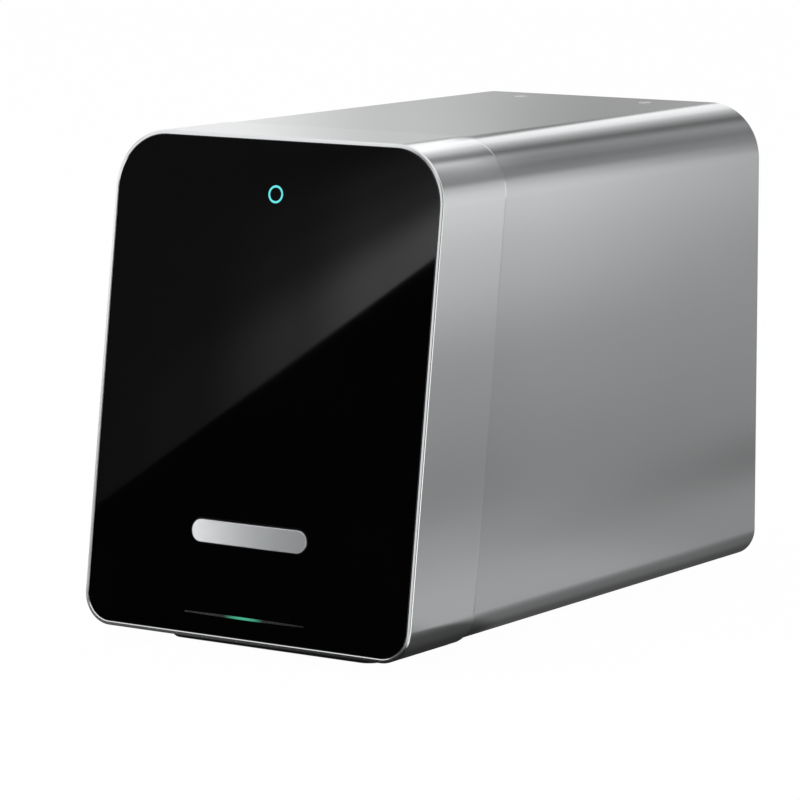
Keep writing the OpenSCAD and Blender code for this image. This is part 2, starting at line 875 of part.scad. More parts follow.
// Moulded rear panel with ports, vents, posts to the bulkhead and tabs under the top screws.
vent_n = 9;
vent_step = 7;
vent_w = 3;
vent_h = 26;
vent_up = 60;
vent_z = z0 + vent_up;
module rear_panel() {
  edge = wall_in + panel_gap;
  color("dimgray") difference() {
    union() {
      along_y(panel_y0, panel_y1, z0) section(edge, edge + drop);
      for (z = post_z) both(post_x) rod_y(post_r, bulkhead_y + sheet_t, panel_y0 + lap, 0, z);
      both(top_screw_span / 2)
        box([-tab_w / 2, top_screw_y - tab_h, roof_z - tab_h], [tab_w / 2, panel_y1, roof_z]);
    }
    panel_screw_shapes(fit);
    top_screw_shapes(fit);
    rod_y(inlet_r + fit, panel_y0 - cut, y_rear + cut, inlet_x, port_z);
    box([usb_x - usb_w / 2 - fit, panel_y0 - cut, port_z - usb_h / 2 - fit],
      [usb_x + usb_w / 2 + fit, y_rear + cut, port_z + usb_h / 2 + fit]);
    box([switch_x - switch_w / 2 - fit, panel_y0 - cut, port_z - switch_h / 2 - fit],
      [switch_x + switch_w / 2 + fit, y_rear + cut, port_z + switch_h / 2 + fit]);
    for (k = [0 : vent_n - 1])
      translate([(k - (vent_n - 1) / 2) * vent_step - vent_w / 2, panel_y0 - cut, vent_z])
        cube([vent_w, panel_t + 2 * cut, vent_h]);
  }
}

// Four screws from the back through the panel's posts into the bulkhead.
module panel_screw_shapes(g) {
  for (z = post_z) both(post_x) {
    rod_y(screw_r + g, bulkhead_y - cut, panel_y1 - head_t + lap, 0, z);
    rod_y(head_r + g, panel_y1 - head_t - g, panel_y1 + g, 0, z);
  }
}
module panel_screws() {
  color("gray") panel_screw_shapes(0);
}

// Round power inlet with its centre pin.
inlet_bore_r = 3.1;
inlet_pin_r = 1.05;
inlet_deep = 9;
pin_in = 1;
module power_inlet() {
  color("black") {
    difference() {
      rod_y(inlet_r, port_face - port_l, port_face, inlet_x, port_z);
      rod_y(inlet_bore_r, port_face - inlet_deep, port_face + cut, inlet_x, port_z);
    }
    rod_y(inlet_pin_r, port_face - inlet_deep - lap, port_face - pin_in, inlet_x, port_z);
  }
}

// Square data socket with its tongue.
usb_wall = 1.6;
usb_tongue = [5.6, 3];
module data_port() {
  color("lightgray") difference() {
    box([usb_x - usb_w / 2, port_face - port_l, port_z - usb_h / 2],
      [usb_x + usb_w / 2, port_face, port_z + usb_h / 2]);
    difference() {
      box([usb_x - usb_w / 2 + usb_wall, port_face - inlet_deep, port_z - usb_h / 2 + usb_wall],
        [usb_x + usb_w / 2 - usb_wall, port_face + cut, port_z + usb_h / 2 - usb_wall]);
      box([usb_x - usb_tongue[0] / 2, port_face - inlet_deep - cut, port_z - usb_tongue[1] / 2],
        [usb_x + usb_tongue[0] / 2, port_face - pin_in, port_z + usb_tongue[1] / 2]);
    }
  }
}

// Switch body and the rocker that tips in it.
switch_cup = 11;
rocker_pin_l = 1;
pin_end = rocker_w / 2 + rocker_pin_l;
module switch_body() {
  color("black") difference() {
    box([switch_x - switch_w / 2, port_face - port_l, port_z - switch_h / 2],
      [switch_x + switch_w / 2, port_face, port_z + switch_h / 2]);
    box([switch_x - rocker_w / 2 - rocker_gap, port_face - switch_cup,
        port_z - rocker_h / 2 - rocker_swing],
      [switch_x + rocker_w / 2 + rocker_gap, port_face + cut, port_z + rocker_h / 2 + rocker_swing]);
    rod_x(rocker_pin_r + run_gap, switch_x - pin_end - rocker_gap, switch_x + pin_end + rocker_gap,
      rocker_y, port_z);
  }
}
rocker_face = 2.2;
rocker_dip = 0.6;
rocker_deep = 3.5;
rocker_taper = 2;
module power_rocker() {
  color("dimgray") translate([0, rocker_y, port_z]) rotate([-rocker_tilt, 0, 0]) {
    translate([switch_x - rocker_w / 2, 0, 0]) rotate([90, 0, 90]) linear_extrude(rocker_w)
      polygon([[-rocker_deep, -rocker_h / 2 + rocker_taper], [rocker_face, -rocker_h / 2],
        [rocker_dip, 0], [rocker_face, rocker_h / 2], [-rocker_deep, rocker_h / 2 - rocker_taper]]);
    rod_x(rocker_pin_r, switch_x - pin_end, switch_x + pin_end);
  }
}

// Rubber foot bars and the screws that hold them.
module foot(y, top) {
  difference() {
    translate([0, y, 0]) round_bar(foot_l, foot_w, foot_r, top);
    both(foot_screw_x) translate([0, y, -cut])
      cylinder(r = foot_head_r + foot_head_gap, h = foot_head_z + foot_head_t + cut);
    foot_screw_holes(foot_head_gap);
  }
}
module front_foot() {
  color("black") foot(foot_y[0], z0);
}
module rear_foot() {
  color("black") foot(foot_y[1], z0 + chin);
}
module foot_screws() {
  color("gray") for (y = foot_y) both(foot_screw_x) translate([0, y, foot_head_z]) {
    cylinder(r = foot_head_r, h = foot_head_t);
    cylinder(r = foot_shank_r, h = deck_floor + foot_shank_over - foot_head_z);
  }
}

front_collar();
glass_panel();
power_ring();
status_light();
touch_board();
light_board();
slot_seal();
tray_front();
plate_tray();
tray_magnets();
tray_carriage();
tray_screws();
guide_rods();
front_rod_block();
rear_rod_block();
screw_bearings();
lead_screw();
lead_nut();
shaft_coupler();
motor_shaft();
drive_motor();
motor_bracket();
motor_screws();
chassis();
optics_deck();
deck_screws();
laser_module();
laser_clamp();
galvo_motor();
galvo_mirror();
scan_lens();
fold_mirror();
mirror_cheeks();
detector_housing();
detector_tube();
light_guide();
erase_board();
main_board();
board_standoffs();
sleeve();
top_screws();
rear_panel();
panel_screws();
power_inlet();
data_port();
switch_body();
power_rocker();
front_foot();
rear_foot();
foot_screws();
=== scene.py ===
"""Looks of the phosphor plate scanner: its outside pieces, finishes, studio and camera."""
import json
import math

import bmesh
import bpy
from mathutils import Euler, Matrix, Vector


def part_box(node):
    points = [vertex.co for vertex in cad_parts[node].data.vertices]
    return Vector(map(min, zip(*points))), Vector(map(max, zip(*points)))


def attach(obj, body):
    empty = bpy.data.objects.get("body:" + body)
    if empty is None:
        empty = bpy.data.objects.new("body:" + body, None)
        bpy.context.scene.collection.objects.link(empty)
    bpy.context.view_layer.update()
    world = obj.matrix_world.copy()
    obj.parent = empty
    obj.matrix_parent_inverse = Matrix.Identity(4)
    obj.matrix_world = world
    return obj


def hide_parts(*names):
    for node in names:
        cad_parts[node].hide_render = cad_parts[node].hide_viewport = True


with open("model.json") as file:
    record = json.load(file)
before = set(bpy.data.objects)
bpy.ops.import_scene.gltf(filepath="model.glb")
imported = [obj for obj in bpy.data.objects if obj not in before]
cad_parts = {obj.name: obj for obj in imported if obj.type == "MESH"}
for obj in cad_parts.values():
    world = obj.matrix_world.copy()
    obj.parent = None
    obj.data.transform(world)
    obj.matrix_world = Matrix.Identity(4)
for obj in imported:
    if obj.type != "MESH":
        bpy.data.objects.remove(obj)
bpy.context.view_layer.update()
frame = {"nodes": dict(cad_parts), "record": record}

MM = 0.001
LEAN = math.radians(8.0)
SIN, COS, TAN = math.sin(LEAN), math.cos(LEAN), math.tan(LEAN)

# The body's outside, from the CAD nodes
collar_low, collar_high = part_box("front_collar")
Z0 = collar_low.z
HALF_W = collar_high.x
BODY_H = collar_high.z - Z0
Y_FRONT = collar_low.y
Y_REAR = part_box("sleeve")[1].y
SLEEVE_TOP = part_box("sleeve")[1].z
R_TOP, R_LOW = 18 * MM, 10 * MM
CORNER_STEPS = 28

# Edges: the middle of a softened edge lies EASE of the way in, and edges past the angles stay hard
EASE, SOFT_EDGE = 0.3, 0.3 * MM
HARD_ANGLE, RIM_HARD_ANGLE = 32, 15
LEAST_R, SAME_POINT = 0.02 * MM, 1e-4 * MM

# Collar and sleeve: the rim's profile is inset and depth in millimetres, from the side to the glass
COLLAR_D = 33.7 * MM
COLLAR_STEP = 0.3 * MM
CHIN = 0.9 * MM
CHIN_RUN, CHIN_END = 6 * MM, 2.2 * MM
CHIN_STATIONS = (32.2, 31, 29.8, 28.6, 27.4, 26.2, 25)
WALL_IN, WALL_EDGE = 2.3 * MM, 0.2 * MM
LEDGE_W, LEDGE_T = 4.5 * MM, 3 * MM
RIM_W = 1.3 * MM
RIM_PROFILE = ((0, 0.6), (0.04, 0.45), (0.16, 0.29), (0.40, 0.155), (1.04, 0.065), (1.26, 0.27), (1.3, 0.45))
SEAM_EDGE, SEAM_BEVEL, SEAM_RUN = 0.15 * MM, 0.15 * MM, 0.75 * MM
SEAM_EASE_IN, SEAM_EASE_RUN = 0.08, 0.9
REAR_EDGE = 0.5 * MM

# Glass, ring and status light: the light's core and tail are squared places along it, from middle to end
GLASS_IN, SEAT = 0.25 * MM, 3.25 * MM
GLASS_GAP, GLASS_EDGE = 0.1 * MM, 0.15 * MM
RING_R, RING_LINE, RING_DEEP, RING_DROP = 2.7 * MM, 0.7 * MM, 0.4 * MM, 0.05 * MM
RING_UP = BODY_H / COS - 17.1 * MM
RING_POINTS = 96
BAR_L, BAR_H, BAR_UP, BAR_DROP = 44 * MM, 0.85 * MM, 7.5 * MM, 0.06 * MM
BAR_TAPER, BAR_STEPS = 0.45, 24
BAR_CORE, BAR_TAIL = (-0.04, 0.12), (0.25, 0.95)
BAR_GREEN, BAR_DIM, BAR_DARK = (0.055, 0.49, 0.285), (0.007, 0.010, 0.009), (0.002, 0.002, 0.002)
PROUD, LAMP_SOFT = 0.03 * MM, 0.08 * MM

# Tray: the edge of its face is growth and depth in millimetres
PILL_W, PILL_H, PILL_GAP = 42.2 * MM, 6.9 * MM, 0.3 * MM
PILL_PROUD, PILL_CROWN = 0.6 * MM, 0.35 * MM
PILL_EDGE = ((-0.24, 0), (-0.14, 0.02), (-0.05, 0.08), (0, 0.22))
PILL_STEPS, PILL_FLAT_STEPS = 20, 10
PILL_Z = Z0 + 32 * MM
POCKET_W, POCKET_L, POCKET_R = 32.4 * MM, 42.4 * MM, 1 * MM
POCKET_Y = Y_FRONT + 32 * MM
POCKET_STEPS, NOTCH_STEPS = 6, 24
TRAY_FLOOR, TRAY_R, NOTCH_R = 1.4 * MM, 0.6 * MM, 8 * MM
FLOOR_EASE = 0.4

# Feet: edges are growth and height in millimetres, from the floor or from the top; seats radius and height
FOOT_LOW_EDGE = ((-1.2, 0), (-0.65, 0.1), (-0.25, 0.4), (-0.05, 0.85), (0, 1.3))
FOOT_TOP_EDGE = ((0, 0.6), (-0.15, 0.2), (-0.5, 0))
FOOT_SEAT = ((3.3, 0), (3.1, 0.2), (3.1, 3.0))
FOOT_SCREW_X, FOOT_END = 24 * MM, 0.1 * MM
FOOT_STEPS, FOOT_SEAT_POINTS = 16, 40

# Rear panel and its sockets: sizes are width, height and corner, profiles radius or growth, and depth
PANEL_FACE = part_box("rear_panel")[1].y
PANEL_BACK = PANEL_FACE - 3 * MM
PANEL_IN, PANEL_DROP = 2.5 * MM, 0.6 * MM
PANEL_EDGE, HOLE_EDGE = 0.4 * MM, 0.25 * MM
PORT_Z, PORT_DEEP, PORT_GAP = Z0 + 26 * MM, 9 * MM, 0.1 * MM
INLET_X, SOCKET_X, SWITCH_X = -30 * MM, -6 * MM, 24 * MM
INLET_R, INLET_BORE = 5.5 * MM, 3.1 * MM
SOCKET_SIZE, SOCKET_WELL = (12 * MM, 11 * MM, 0.8 * MM), (8.8 * MM, 7.8 * MM, 0.5 * MM)
SWITCH_SIZE, SWITCH_WELL = (15 * MM, 21 * MM, 1.2 * MM), (10.2 * MM, 18.8 * MM, 0.5 * MM)
SWITCH_DEEP = 11 * MM
PIN_PROFILE, PIN_POINTS = ((1.05, 9), (1.05, 1.6), (0.95, 1.25), (0.7, 1.05), (0.35, 1.0)), 32
TONGUE_SIZE, TONGUE_PROFILE = (5.6 * MM, 3 * MM, 0.3 * MM), ((0, 9), (0, 1.3), (-0.2, 1.0))
VENT_COUNT, VENT_STEP, VENT_W, VENT_H = 9, 7 * MM, 3 * MM, 26 * MM
VENT_Z = Z0 + 60 * MM
ROCKER_TILT, ROCKER_IN = math.radians(-7), 4 * MM

# Screws: the edge of a head is inset and drop in millimetres
HEAD_POINTS = 48
HEAD_EDGE = ((0, 0.12), (0.06, 0.03), (0.2, 0))
HEX_ACROSS, HEX_EDGE = 2 * MM, 0.06 * MM
TOP_SCREW_R, TOP_SEAT, TOP_RISE, TOP_HEX_DEEP = 2.3 * MM, 0.9 * MM, 0.1 * MM, 0.7 * MM
TOP_SCREWS = [(s * 24 * MM, Y_REAR - 13 * MM) for s in (-1, 1)]
BORE_GAP, BORE_OVER = 0.12 * MM, 1 * MM
PANEL_SCREW_R, PANEL_SEAT, PANEL_RISE, PANEL_HEX_DEEP = 2.2 * MM, 1.4 * MM, -0.1 * MM, 0.9 * MM
PANEL_SEAT_R, PANEL_SEAT_POINTS = 2.4 * MM, 40
POST_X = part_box("panel_screws")[1].x - PANEL_SCREW_R
PANEL_SCREWS = [(s * POST_X, Z0 + up * MM) for s in (-1, 1) for up in (50, 108)]

# The camera that sees the part as the photograph does, in an image of 800 by 800
IMAGE = 800
FOCAL_PX = 4298.1
SENSOR = 36
CAMERA_AT = Vector((0.74439, -1.11575, 0.26858))
CAMERA_TURN = Euler([math.radians(a) for a in (90 - 8.623, 0.039, 34.131)])


class Wire:
    """A value in a node tree, which Python expressions can use."""

    def __init__(self, tree, socket):
        self.tree, self.socket = tree, socket

    def math(self, operation, a, b):
        return self.tree.add("ShaderNodeMath", {"operation": operation}, {0: a, 1: b})

    def __add__(self, other):
        return self.math("ADD", self, other)

    def __sub__(self, other):
        return self.math("SUBTRACT", self, other)

    def __rsub__(self, other):
        return self.math("SUBTRACT", other, self)

    def __mul__(self, other):
        return self.math("MULTIPLY", self, other)

    def __truediv__(self, other):
        return self.math("DIVIDE", self, other)

    __radd__ = __add__
    __rmul__ = __mul__


class Tree:
    """A node tree, with one method for every kind of node."""

    def __init__(self, tree):
        self.tree = tree

    def add(self, kind, settings=None, inputs=None, out=0):
        node = self.tree.nodes.new(kind)
        for key, value in (settings or {}).items():
            setattr(node, key, value)
        for key, value in (inputs or {}).items():
            self.feed(node.inputs[key], value)
        return Wire(self, node.outputs[out])

    def feed(self, socket, value):
        if isinstance(value, Wire):
            self.tree.links.new(value.socket, socket)
        else:
            socket.default_value = value

    def place(self, scale=(1, 1, 1)):
        """The place on the part in millimetres, stretched by scale."""
        at = self.add("ShaderNodeTexCoord", out="Object")
        return self.add("ShaderNodeVectorMath", {"operation": "MULTIPLY"},
                        {0: at, 1: tuple(s / MM for s in scale)})

    def axis(self, name):
        at = self.add("ShaderNodeTexCoord", out="Object")
        return self.add("ShaderNodeSeparateXYZ", None, {0: at}, out=name)

    def noise(self, size, detail, scale=(1, 1, 1), rough=0.5):
        """Noise from 0 to 1 whose grains are about size millimetres."""
        return self.add("ShaderNodeTexNoise", None, {"Vector": self.place(scale), "Scale": 1 / size,
                                                     "Detail": detail, "Roughness": rough})

    def ramp(self, value, low, high):
        """Value from low to high, as 0 to 1."""
        return self.add("ShaderNodeMapRange", {"interpolation_type": "SMOOTHSTEP"},
                        {"Value": value, "From Min": low, "From Max": high})

    def tint(self, factor, a, b):
        """Colour a where factor is 0, and b where it is 1."""
        a, b = (c if isinstance(c, Wire) else (*c, 1) for c in (a, b))
        return self.add("ShaderNodeMix", {"data_type": "RGBA"}, {0: factor, 6: a, 7: b}, out=2)

    def bump(self, height, distance, strength):
        """Normals of a relief that is distance millimetres deep."""
        return self.add("ShaderNodeBump", None,
                        {"Height": height, "Distance": distance * MM, "Strength": strength})


finishes = {}


def finish(name, inputs):
    """A material for a slot of the record: inputs is a function from its tree to its shader's sockets."""
    material = bpy.data.materials.new(name)
    material.use_nodes = True
    tree = Tree(material.node_tree)
    shader = material.node_tree.nodes["Principled BSDF"]
    for key, value in inputs(tree).items():
        tree.feed(shader.inputs[key], value)
    finishes[name] = material


def grey(a):
    return (a, a, a)


def satin_aluminium(tone, roughness):
    def inputs(t):
        cloud = t.noise(30, 3)
        grain = t.noise(0.35, 2)
        return {"Base Color": t.tint(cloud, [c * 0.985 for c in tone], tone), "Metallic": 1.0,
                "Roughness": roughness + (cloud - 0.5) * 0.02 + (grain - 0.5) * 0.03,
                "Normal": t.bump(grain, 0.002, 0.12)}
    return inputs


def black_glass(t):
    haze = t.noise(25, 3)
    return {"Base Color": t.tint(haze, grey(0.0008), grey(0.0014)), "Roughness": 0.018 + haze * 0.02,
            "IOR": 1.5}


def ring_light(t):
    glow = t.noise(1.5, 2)
    return {"Base Color": (0.02, 0.10, 0.10, 1), "Roughness": 0.25 + glow * 0.1,
            "Emission Color": t.tint(glow, (0.10, 0.68, 0.69), (0.14, 0.80, 0.81)), "Emission Strength": 1.0}


def status_light(t):
    """Smoked bar that glows green in the middle and fades to its ends."""
    side = t.axis("X") / (BAR_L / 2)
    reach = side * side
    core = 1 - t.ramp(reach, *BAR_CORE)
    tail = 1 - t.ramp(reach, *BAR_TAIL)
    smoke = t.noise(0.8, 2)
    return {"Base Color": t.tint(smoke, grey(0.002), grey(0.004)), "Roughness": 0.22 + smoke * 0.1,
            "Emission Color": t.tint(core, t.tint(tail, BAR_DARK, BAR_DIM), BAR_GREEN),
            "Emission Strength": 1.0}


def circuit_board(t):
    cell = t.add("ShaderNodeTexBrick", {"offset": 0.37},
                 {"Vector": t.place(), "Scale": 0.28, "Mortar Size": 0.06, "Mortar Smooth": 0.3,
                  "Color1": (0.010, 0.085, 0.040, 1), "Color2": (0.014, 0.11, 0.05, 1),
                  "Mortar": (0.03, 0.20, 0.09, 1)})
    fleck = t.noise(0.6, 2)
    return {"Base Color": cell, "Roughness": 0.3 + fleck * 0.15, "Normal": t.bump(fleck, 0.01, 0.4)}


def felt(t):
    fibre = t.noise(0.25, 5, (1, 1, 2.5), 0.7)
    return {"Base Color": t.tint(fibre, grey(0.008), grey(0.035)), "Roughness": 0.95,
            "Normal": t.bump(fibre, 0.12, 0.8)}


def moulded(dark, light, roughness, grain_size, depth):
    def inputs(t):
        grain = t.noise(grain_size, 3, rough=0.6)
        cloud = t.noise(22, 2)
        return {"Base Color": t.tint(cloud, dark, light), "Roughness": roughness + (grain - 0.5) * 0.12,
                "Normal": t.bump(grain, depth, 0.5)}
    return inputs


def metal(dark, light, roughness, grain_size, scale=(1, 1, 1)):
    """Machined or plated metal: streaks or grains of two tones, with roughness that follows them."""
    def inputs(t):
        streak = t.noise(grain_size, 3, scale, 0.6)
        cloud = t.noise(9, 2)
        return {"Base Color": t.tint(cloud, dark, light), "Metallic": 1.0,
                "Roughness": roughness + (streak - 0.5) * 0.14, "Normal": t.bump(streak, 0.006, 0.4)}
    return inputs


def zinc(t):
    spangle = t.add("ShaderNodeTexVoronoi", None, {"Vector": t.place(), "Scale": 1 / 5.0}, out="Color")
    flake = t.add("ShaderNodeSeparateColor", None, {0: spangle})
    return {"Base Color": t.tint(flake, grey(0.46), (0.60, 0.61, 0.62)), "Metallic": 1.0,
            "Roughness": 0.32 + flake * 0.14}


def clear(tone, roughness):
    def inputs(t):
        haze = t.noise(6, 2)
        return {"Base Color": t.tint(haze, [c * 0.96 for c in tone], tone), "Transmission Weight": 1.0,
                "Roughness": roughness + haze * 0.03, "IOR": 1.52}
    return inputs


SILVER = (0.783, 0.795, 0.806)
SLEEVE_SILVER = (0.713, 0.724, 0.734)
finish("satin_aluminium", satin_aluminium(SILVER, 0.18))
finish("sleeve_aluminium", satin_aluminium(SLEEVE_SILVER, 0.18))
finish("tray_aluminium", satin_aluminium(SILVER, 0.30))
finish("black_glass", black_glass)
finish("ring_light", ring_light)
finish("status_light", status_light)
finish("circuit_board", circuit_board)
finish("felt", felt)
finish("dark_plastic", moulded((0.020, 0.021, 0.023), (0.026, 0.027, 0.029), 0.52, 0.5, 0.05))
finish("gloss_black", moulded(grey(0.008), grey(0.011), 0.20, 2.5, 0.01))
finish("steel", metal((0.55, 0.56, 0.58), (0.66, 0.67, 0.69), 0.24, 0.3, (1, 0.1, 1)))
finish("screw_steel", metal((0.84, 0.85, 0.86), (0.90, 0.91, 0.92), 0.30, 0.3))
finish("sheet_steel", zinc)
finish("bronze", metal((0.42, 0.25, 0.11), (0.55, 0.35, 0.17), 0.30, 0.3, (1, 3, 1)))
finish("brass", metal((0.62, 0.46, 0.19), (0.74, 0.57, 0.27), 0.26, 0.3, (3, 1, 1)))
finish("black_metal", moulded(grey(0.014), grey(0.020), 0.45, 0.8, 0.03))
finish("optical_glass", clear((0.90, 0.97, 0.98), 0.01))
finish("mirror", metal((0.88, 0.89, 0.90), (0.92, 0.93, 0.94), 0.09, 4))
finish("detector_glass", clear((0.62, 0.52, 0.30), 0.08))
finish("port_metal", metal((0.62, 0.63, 0.65), (0.72, 0.73, 0.75), 0.22, 0.6))
finish("rubber", moulded(grey(0.010), grey(0.017), 0.70, 0.35, 0.06))

for part in frame["record"]["subparts"]:
    node = frame["nodes"][part["node"]]
    node.data.materials.clear()
    node.data.materials.append(finishes[part["material_slot"]])


def put(name, data):
    """A new object in the scene."""
    obj = bpy.data.objects.new(name, data)
    bpy.context.scene.collection.objects.link(obj)
    return obj


def put_mesh(name, mesh):
    """A new object in the scene from a bmesh, which is freed."""
    data = bpy.data.meshes.new(name)
    mesh.to_mesh(data)
    mesh.free()
    return put(name, data)


class Skin:
    """A closed surface made of rings of points, the bands between them and caps, kept in millimetres."""

    def __init__(self):
        self.mesh = bmesh.new()

    def ring(self, points):
        return [self.mesh.verts.new(Vector(p) / MM) for p in points]

    def band(self, *rings):
        for a, b in zip(rings, rings[1:]):
            for i in range(len(a)):
                j = (i + 1) % len(a)
                self.mesh.faces.new((a[i], a[j], b[j], b[i]))

    def stack(self, rings, closed=False):
        """Rings joined in order, and the last to the first where closed."""
        made = [self.ring(r) for r in rings]
        self.band(*made, *(made[:1] if closed else []))
        return made

    def cap(self, *rings):
        """A flat face inside the first ring, with the other rings as its holes."""
        edges = []
        for ring in rings:
            for i in range(len(ring)):
                ends = (ring[i], ring[(i + 1) % len(ring)])
                edges.append(self.mesh.edges.get(ends) or self.mesh.edges.new(ends))
        bmesh.ops.triangle_fill(self.mesh, use_beauty=True, use_dissolve=False, edges=edges)

    def form(self, name):
        """The surface as an object in metres."""
        bmesh.ops.recalc_face_normals(self.mesh, faces=self.mesh.faces)
        bmesh.ops.scale(self.mesh, vec=(MM, MM, MM), verts=self.mesh.verts)
        return put_mesh(name, self.mesh)

    def caps(self, made):
        """Flat faces on the first and the last of some rings."""
        self.cap(made[0])
        self.cap(made[-1])

    def piece(self, name, body, material, replaces=(), cutters=(), hard=HARD_ANGLE):
        """The surface as a piece of the part: cut, finished, and riding its body."""
        obj = self.form(name)
        for cutter in cutters:
            obj.modifiers.new("cut", "BOOLEAN").object = cutter
        if cutters:
            graph = bpy.context.evaluated_depsgraph_get()
            obj.data = bpy.data.meshes.new_from_object(obj.evaluated_get(graph))
            obj.modifiers.clear()
        obj.data.materials.clear()
        obj.data.materials.append(finishes[material])
        obj.data.shade_smooth()
        obj.data.set_sharp_from_angle(angle=math.radians(hard))
        weighted = obj.modifiers.new("flat faces", "WEIGHTED_NORMAL")
        weighted.keep_sharp = True
        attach(obj, body)
        if replaces:
            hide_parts(*replaces)


def corner(x, z, r, start, steps=CORNER_STEPS):
    angles = (math.radians(start + 90 * i / steps) for i in range(steps + 1))
    return [(x + r * math.cos(a), z + r * math.sin(a)) for a in angles]


def section(side, under):
    """The body's outline across its depth, inset at the sides and top, and under it."""
    half, high = HALF_W - side, Z0 + BODY_H - side
    top, low = R_TOP - side, R_LOW - under
    return (corner(half - low, Z0 + R_LOW, low, -90) + corner(half - top, high - top, top, 0)
            + corner(-half + top, high - top, top, 90) + corner(-half + low, Z0 + R_LOW, low, 180))


def rounded(cx, cz, w, h, r, grow=0.0, steps=8):
    x, z, r = w / 2 + grow, h / 2 + grow, max(r + grow, LEAST_R)
    points = (corner(cx + x - r, cz - z + r, r, -90, steps) + corner(cx + x - r, cz + z - r, r, 0, steps)
              + corner(cx - x + r, cz + z - r, r, 90, steps) + corner(cx - x + r, cz - z + r, r, 180, steps))
    return [p for i, p in enumerate(points) if math.dist(p, points[i - 1]) > SAME_POINT]


def circle(cx, cz, r, count=64):
    return [(cx + r * math.cos(2 * math.pi * i / count), cz + r * math.sin(2 * math.pi * i / count))
            for i in range(count)]


def hexagon(across):
    """A hexagon with as many points as a screw's head, for the socket in it."""
    points = []
    for i in range(HEAD_POINTS):
        a = 2 * math.pi * i / HEAD_POINTS
        off = (a + math.pi / 6) % (math.pi / 3) - math.pi / 6
        r = across / 2 / math.cos(off)
        points.append((r * math.cos(a), r * math.sin(a)))
    return points


def pill(grow):
    return rounded(0, PILL_Z, PILL_W, PILL_H, PILL_H / 2, grow, PILL_STEPS)


def leaning(outline, depth):
    """An outline seen along Y, laid at a depth square to the leaning front."""
    return [(x, Y_FRONT + (z - Z0) * TAN + depth / COS, z) for x, z in outline]


def upright(outline, y):
    return [(x, y, z) for x, z in outline]


def level(outline, z):
    return [(x, y, z) for x, y in outline]


def on_front(outline, depth):
    """An outline drawn on the glass, in x and the distance up the front."""
    return [(x, Y_FRONT + depth * COS + up * SIN, Z0 - depth * SIN + up * COS) for x, up in outline]


def chin_lift(y):
    """How far the collar's underside has risen at y, just before the seam."""
    start = Y_FRONT + COLLAR_D - CHIN_END - CHIN_RUN
    r = (CHIN_RUN ** 2 + CHIN ** 2) / (2 * CHIN)
    run = min(max(y - start, 0), CHIN_RUN)
    return r - math.sqrt(r * r - run * run)


def faded(inset):
    """The body's outline, inset at the top and not at all at the foot."""
    outline = []
    for (x, z), (cut_x, cut_z) in zip(section(0, 0), section(inset, inset)):
        up = min(max((z - Z0 - R_LOW) / (BODY_H - R_LOW - R_TOP), 0), 1)
        outline.append((x + (cut_x - x) * up, z + (cut_z - z) * up))
    return outline


def make_collar():
    """Collar: a rim of flat facets, the glass's seat and ledge, and an underside that rises to the seam."""
    def wall(depth):
        return leaning(section(WALL_IN, WALL_IN + CHIN - COLLAR_STEP), depth)

    rings = [wall(COLLAR_D)]
    outside = [(SEAM_BEVEL + SEAM_EDGE / 2, COLLAR_D), (SEAM_BEVEL, COLLAR_D - SEAM_EDGE / 2),
               (SEAM_EASE_IN * SEAM_BEVEL, COLLAR_D - SEAM_EASE_RUN * SEAM_RUN), (0, COLLAR_D - SEAM_RUN)]
    outside += [(0, depth * MM) for depth in CHIN_STATIONS]
    outside += [(inset * MM, depth * MM) for inset, depth in RIM_PROFILE]
    for inset, depth in outside:
        outline = faded(inset) if depth > COLLAR_D / 2 else section(inset, inset)
        rings.append([(x, y, max(z, Z0 + chin_lift(y))) for x, y, z in leaning(outline, depth)])
    rings += [leaning(section(RIM_W, RIM_W), SEAT), leaning(section(LEDGE_W, LEDGE_W), SEAT),
              leaning(section(LEDGE_W, LEDGE_W), SEAT + LEDGE_T), wall(SEAT + LEDGE_T)]
    skin = Skin()
    skin.stack(rings, closed=True)
    skin.piece("collar", "housing", "satin_aluminium", ["front_collar"],
               hard=RIM_HARD_ANGLE)


def make_sleeve():
    """Sleeve from the seam to the rear edge, with two bored seats for the screws on top."""
    def outline(inset):
        return section(inset, inset - COLLAR_STEP + CHIN)

    front = [(WALL_IN, COLLAR_D), (COLLAR_STEP + SEAM_EDGE, COLLAR_D), (COLLAR_STEP, COLLAR_D + SEAM_EDGE)]
    rear = [(COLLAR_STEP, REAR_EDGE), (COLLAR_STEP + EASE * REAR_EDGE, EASE * REAR_EDGE),
            (COLLAR_STEP + REAR_EDGE, 0), (WALL_IN - WALL_EDGE, 0), (WALL_IN, WALL_EDGE)]
    rings = [leaning(outline(inset), depth) for inset, depth in front]
    rings += [upright(outline(inset), Y_REAR - back) for inset, back in rear]
    cutters = []
    for x, y in TOP_SCREWS:
        bore = Skin()
        bore.caps(bore.stack([level(circle(x, y, TOP_SCREW_R + BORE_GAP), z)
                              for z in (SLEEVE_TOP - TOP_SEAT, SLEEVE_TOP + BORE_OVER)]))
        cutters.append(bore.form("bore"))
    skin = Skin()
    skin.stack(rings, closed=True)
    skin.piece("sleeve_shell", "housing", "sleeve_aluminium", ["sleeve"], cutters)
    for cutter in cutters:
        bpy.data.objects.remove(cutter)


def screw_head(skin, place, r, rise, depth, socket):
    """A round head with a softened edge and a hexagon socket; place lays an outline at a height."""
    rings = [place(circle(0, 0, r, HEAD_POINTS), -depth)]
    rings += [place(circle(0, 0, r - inset * MM, HEAD_POINTS), rise - drop * MM) for inset, drop in HEAD_EDGE]
    rings += [place(hexagon(width), rise - drop) for width, drop in
              ((HEX_ACROSS + 2 * HEX_EDGE, 0), (HEX_ACROSS, HEX_EDGE), (HEX_ACROSS, socket))]
    skin.caps(skin.stack(rings))


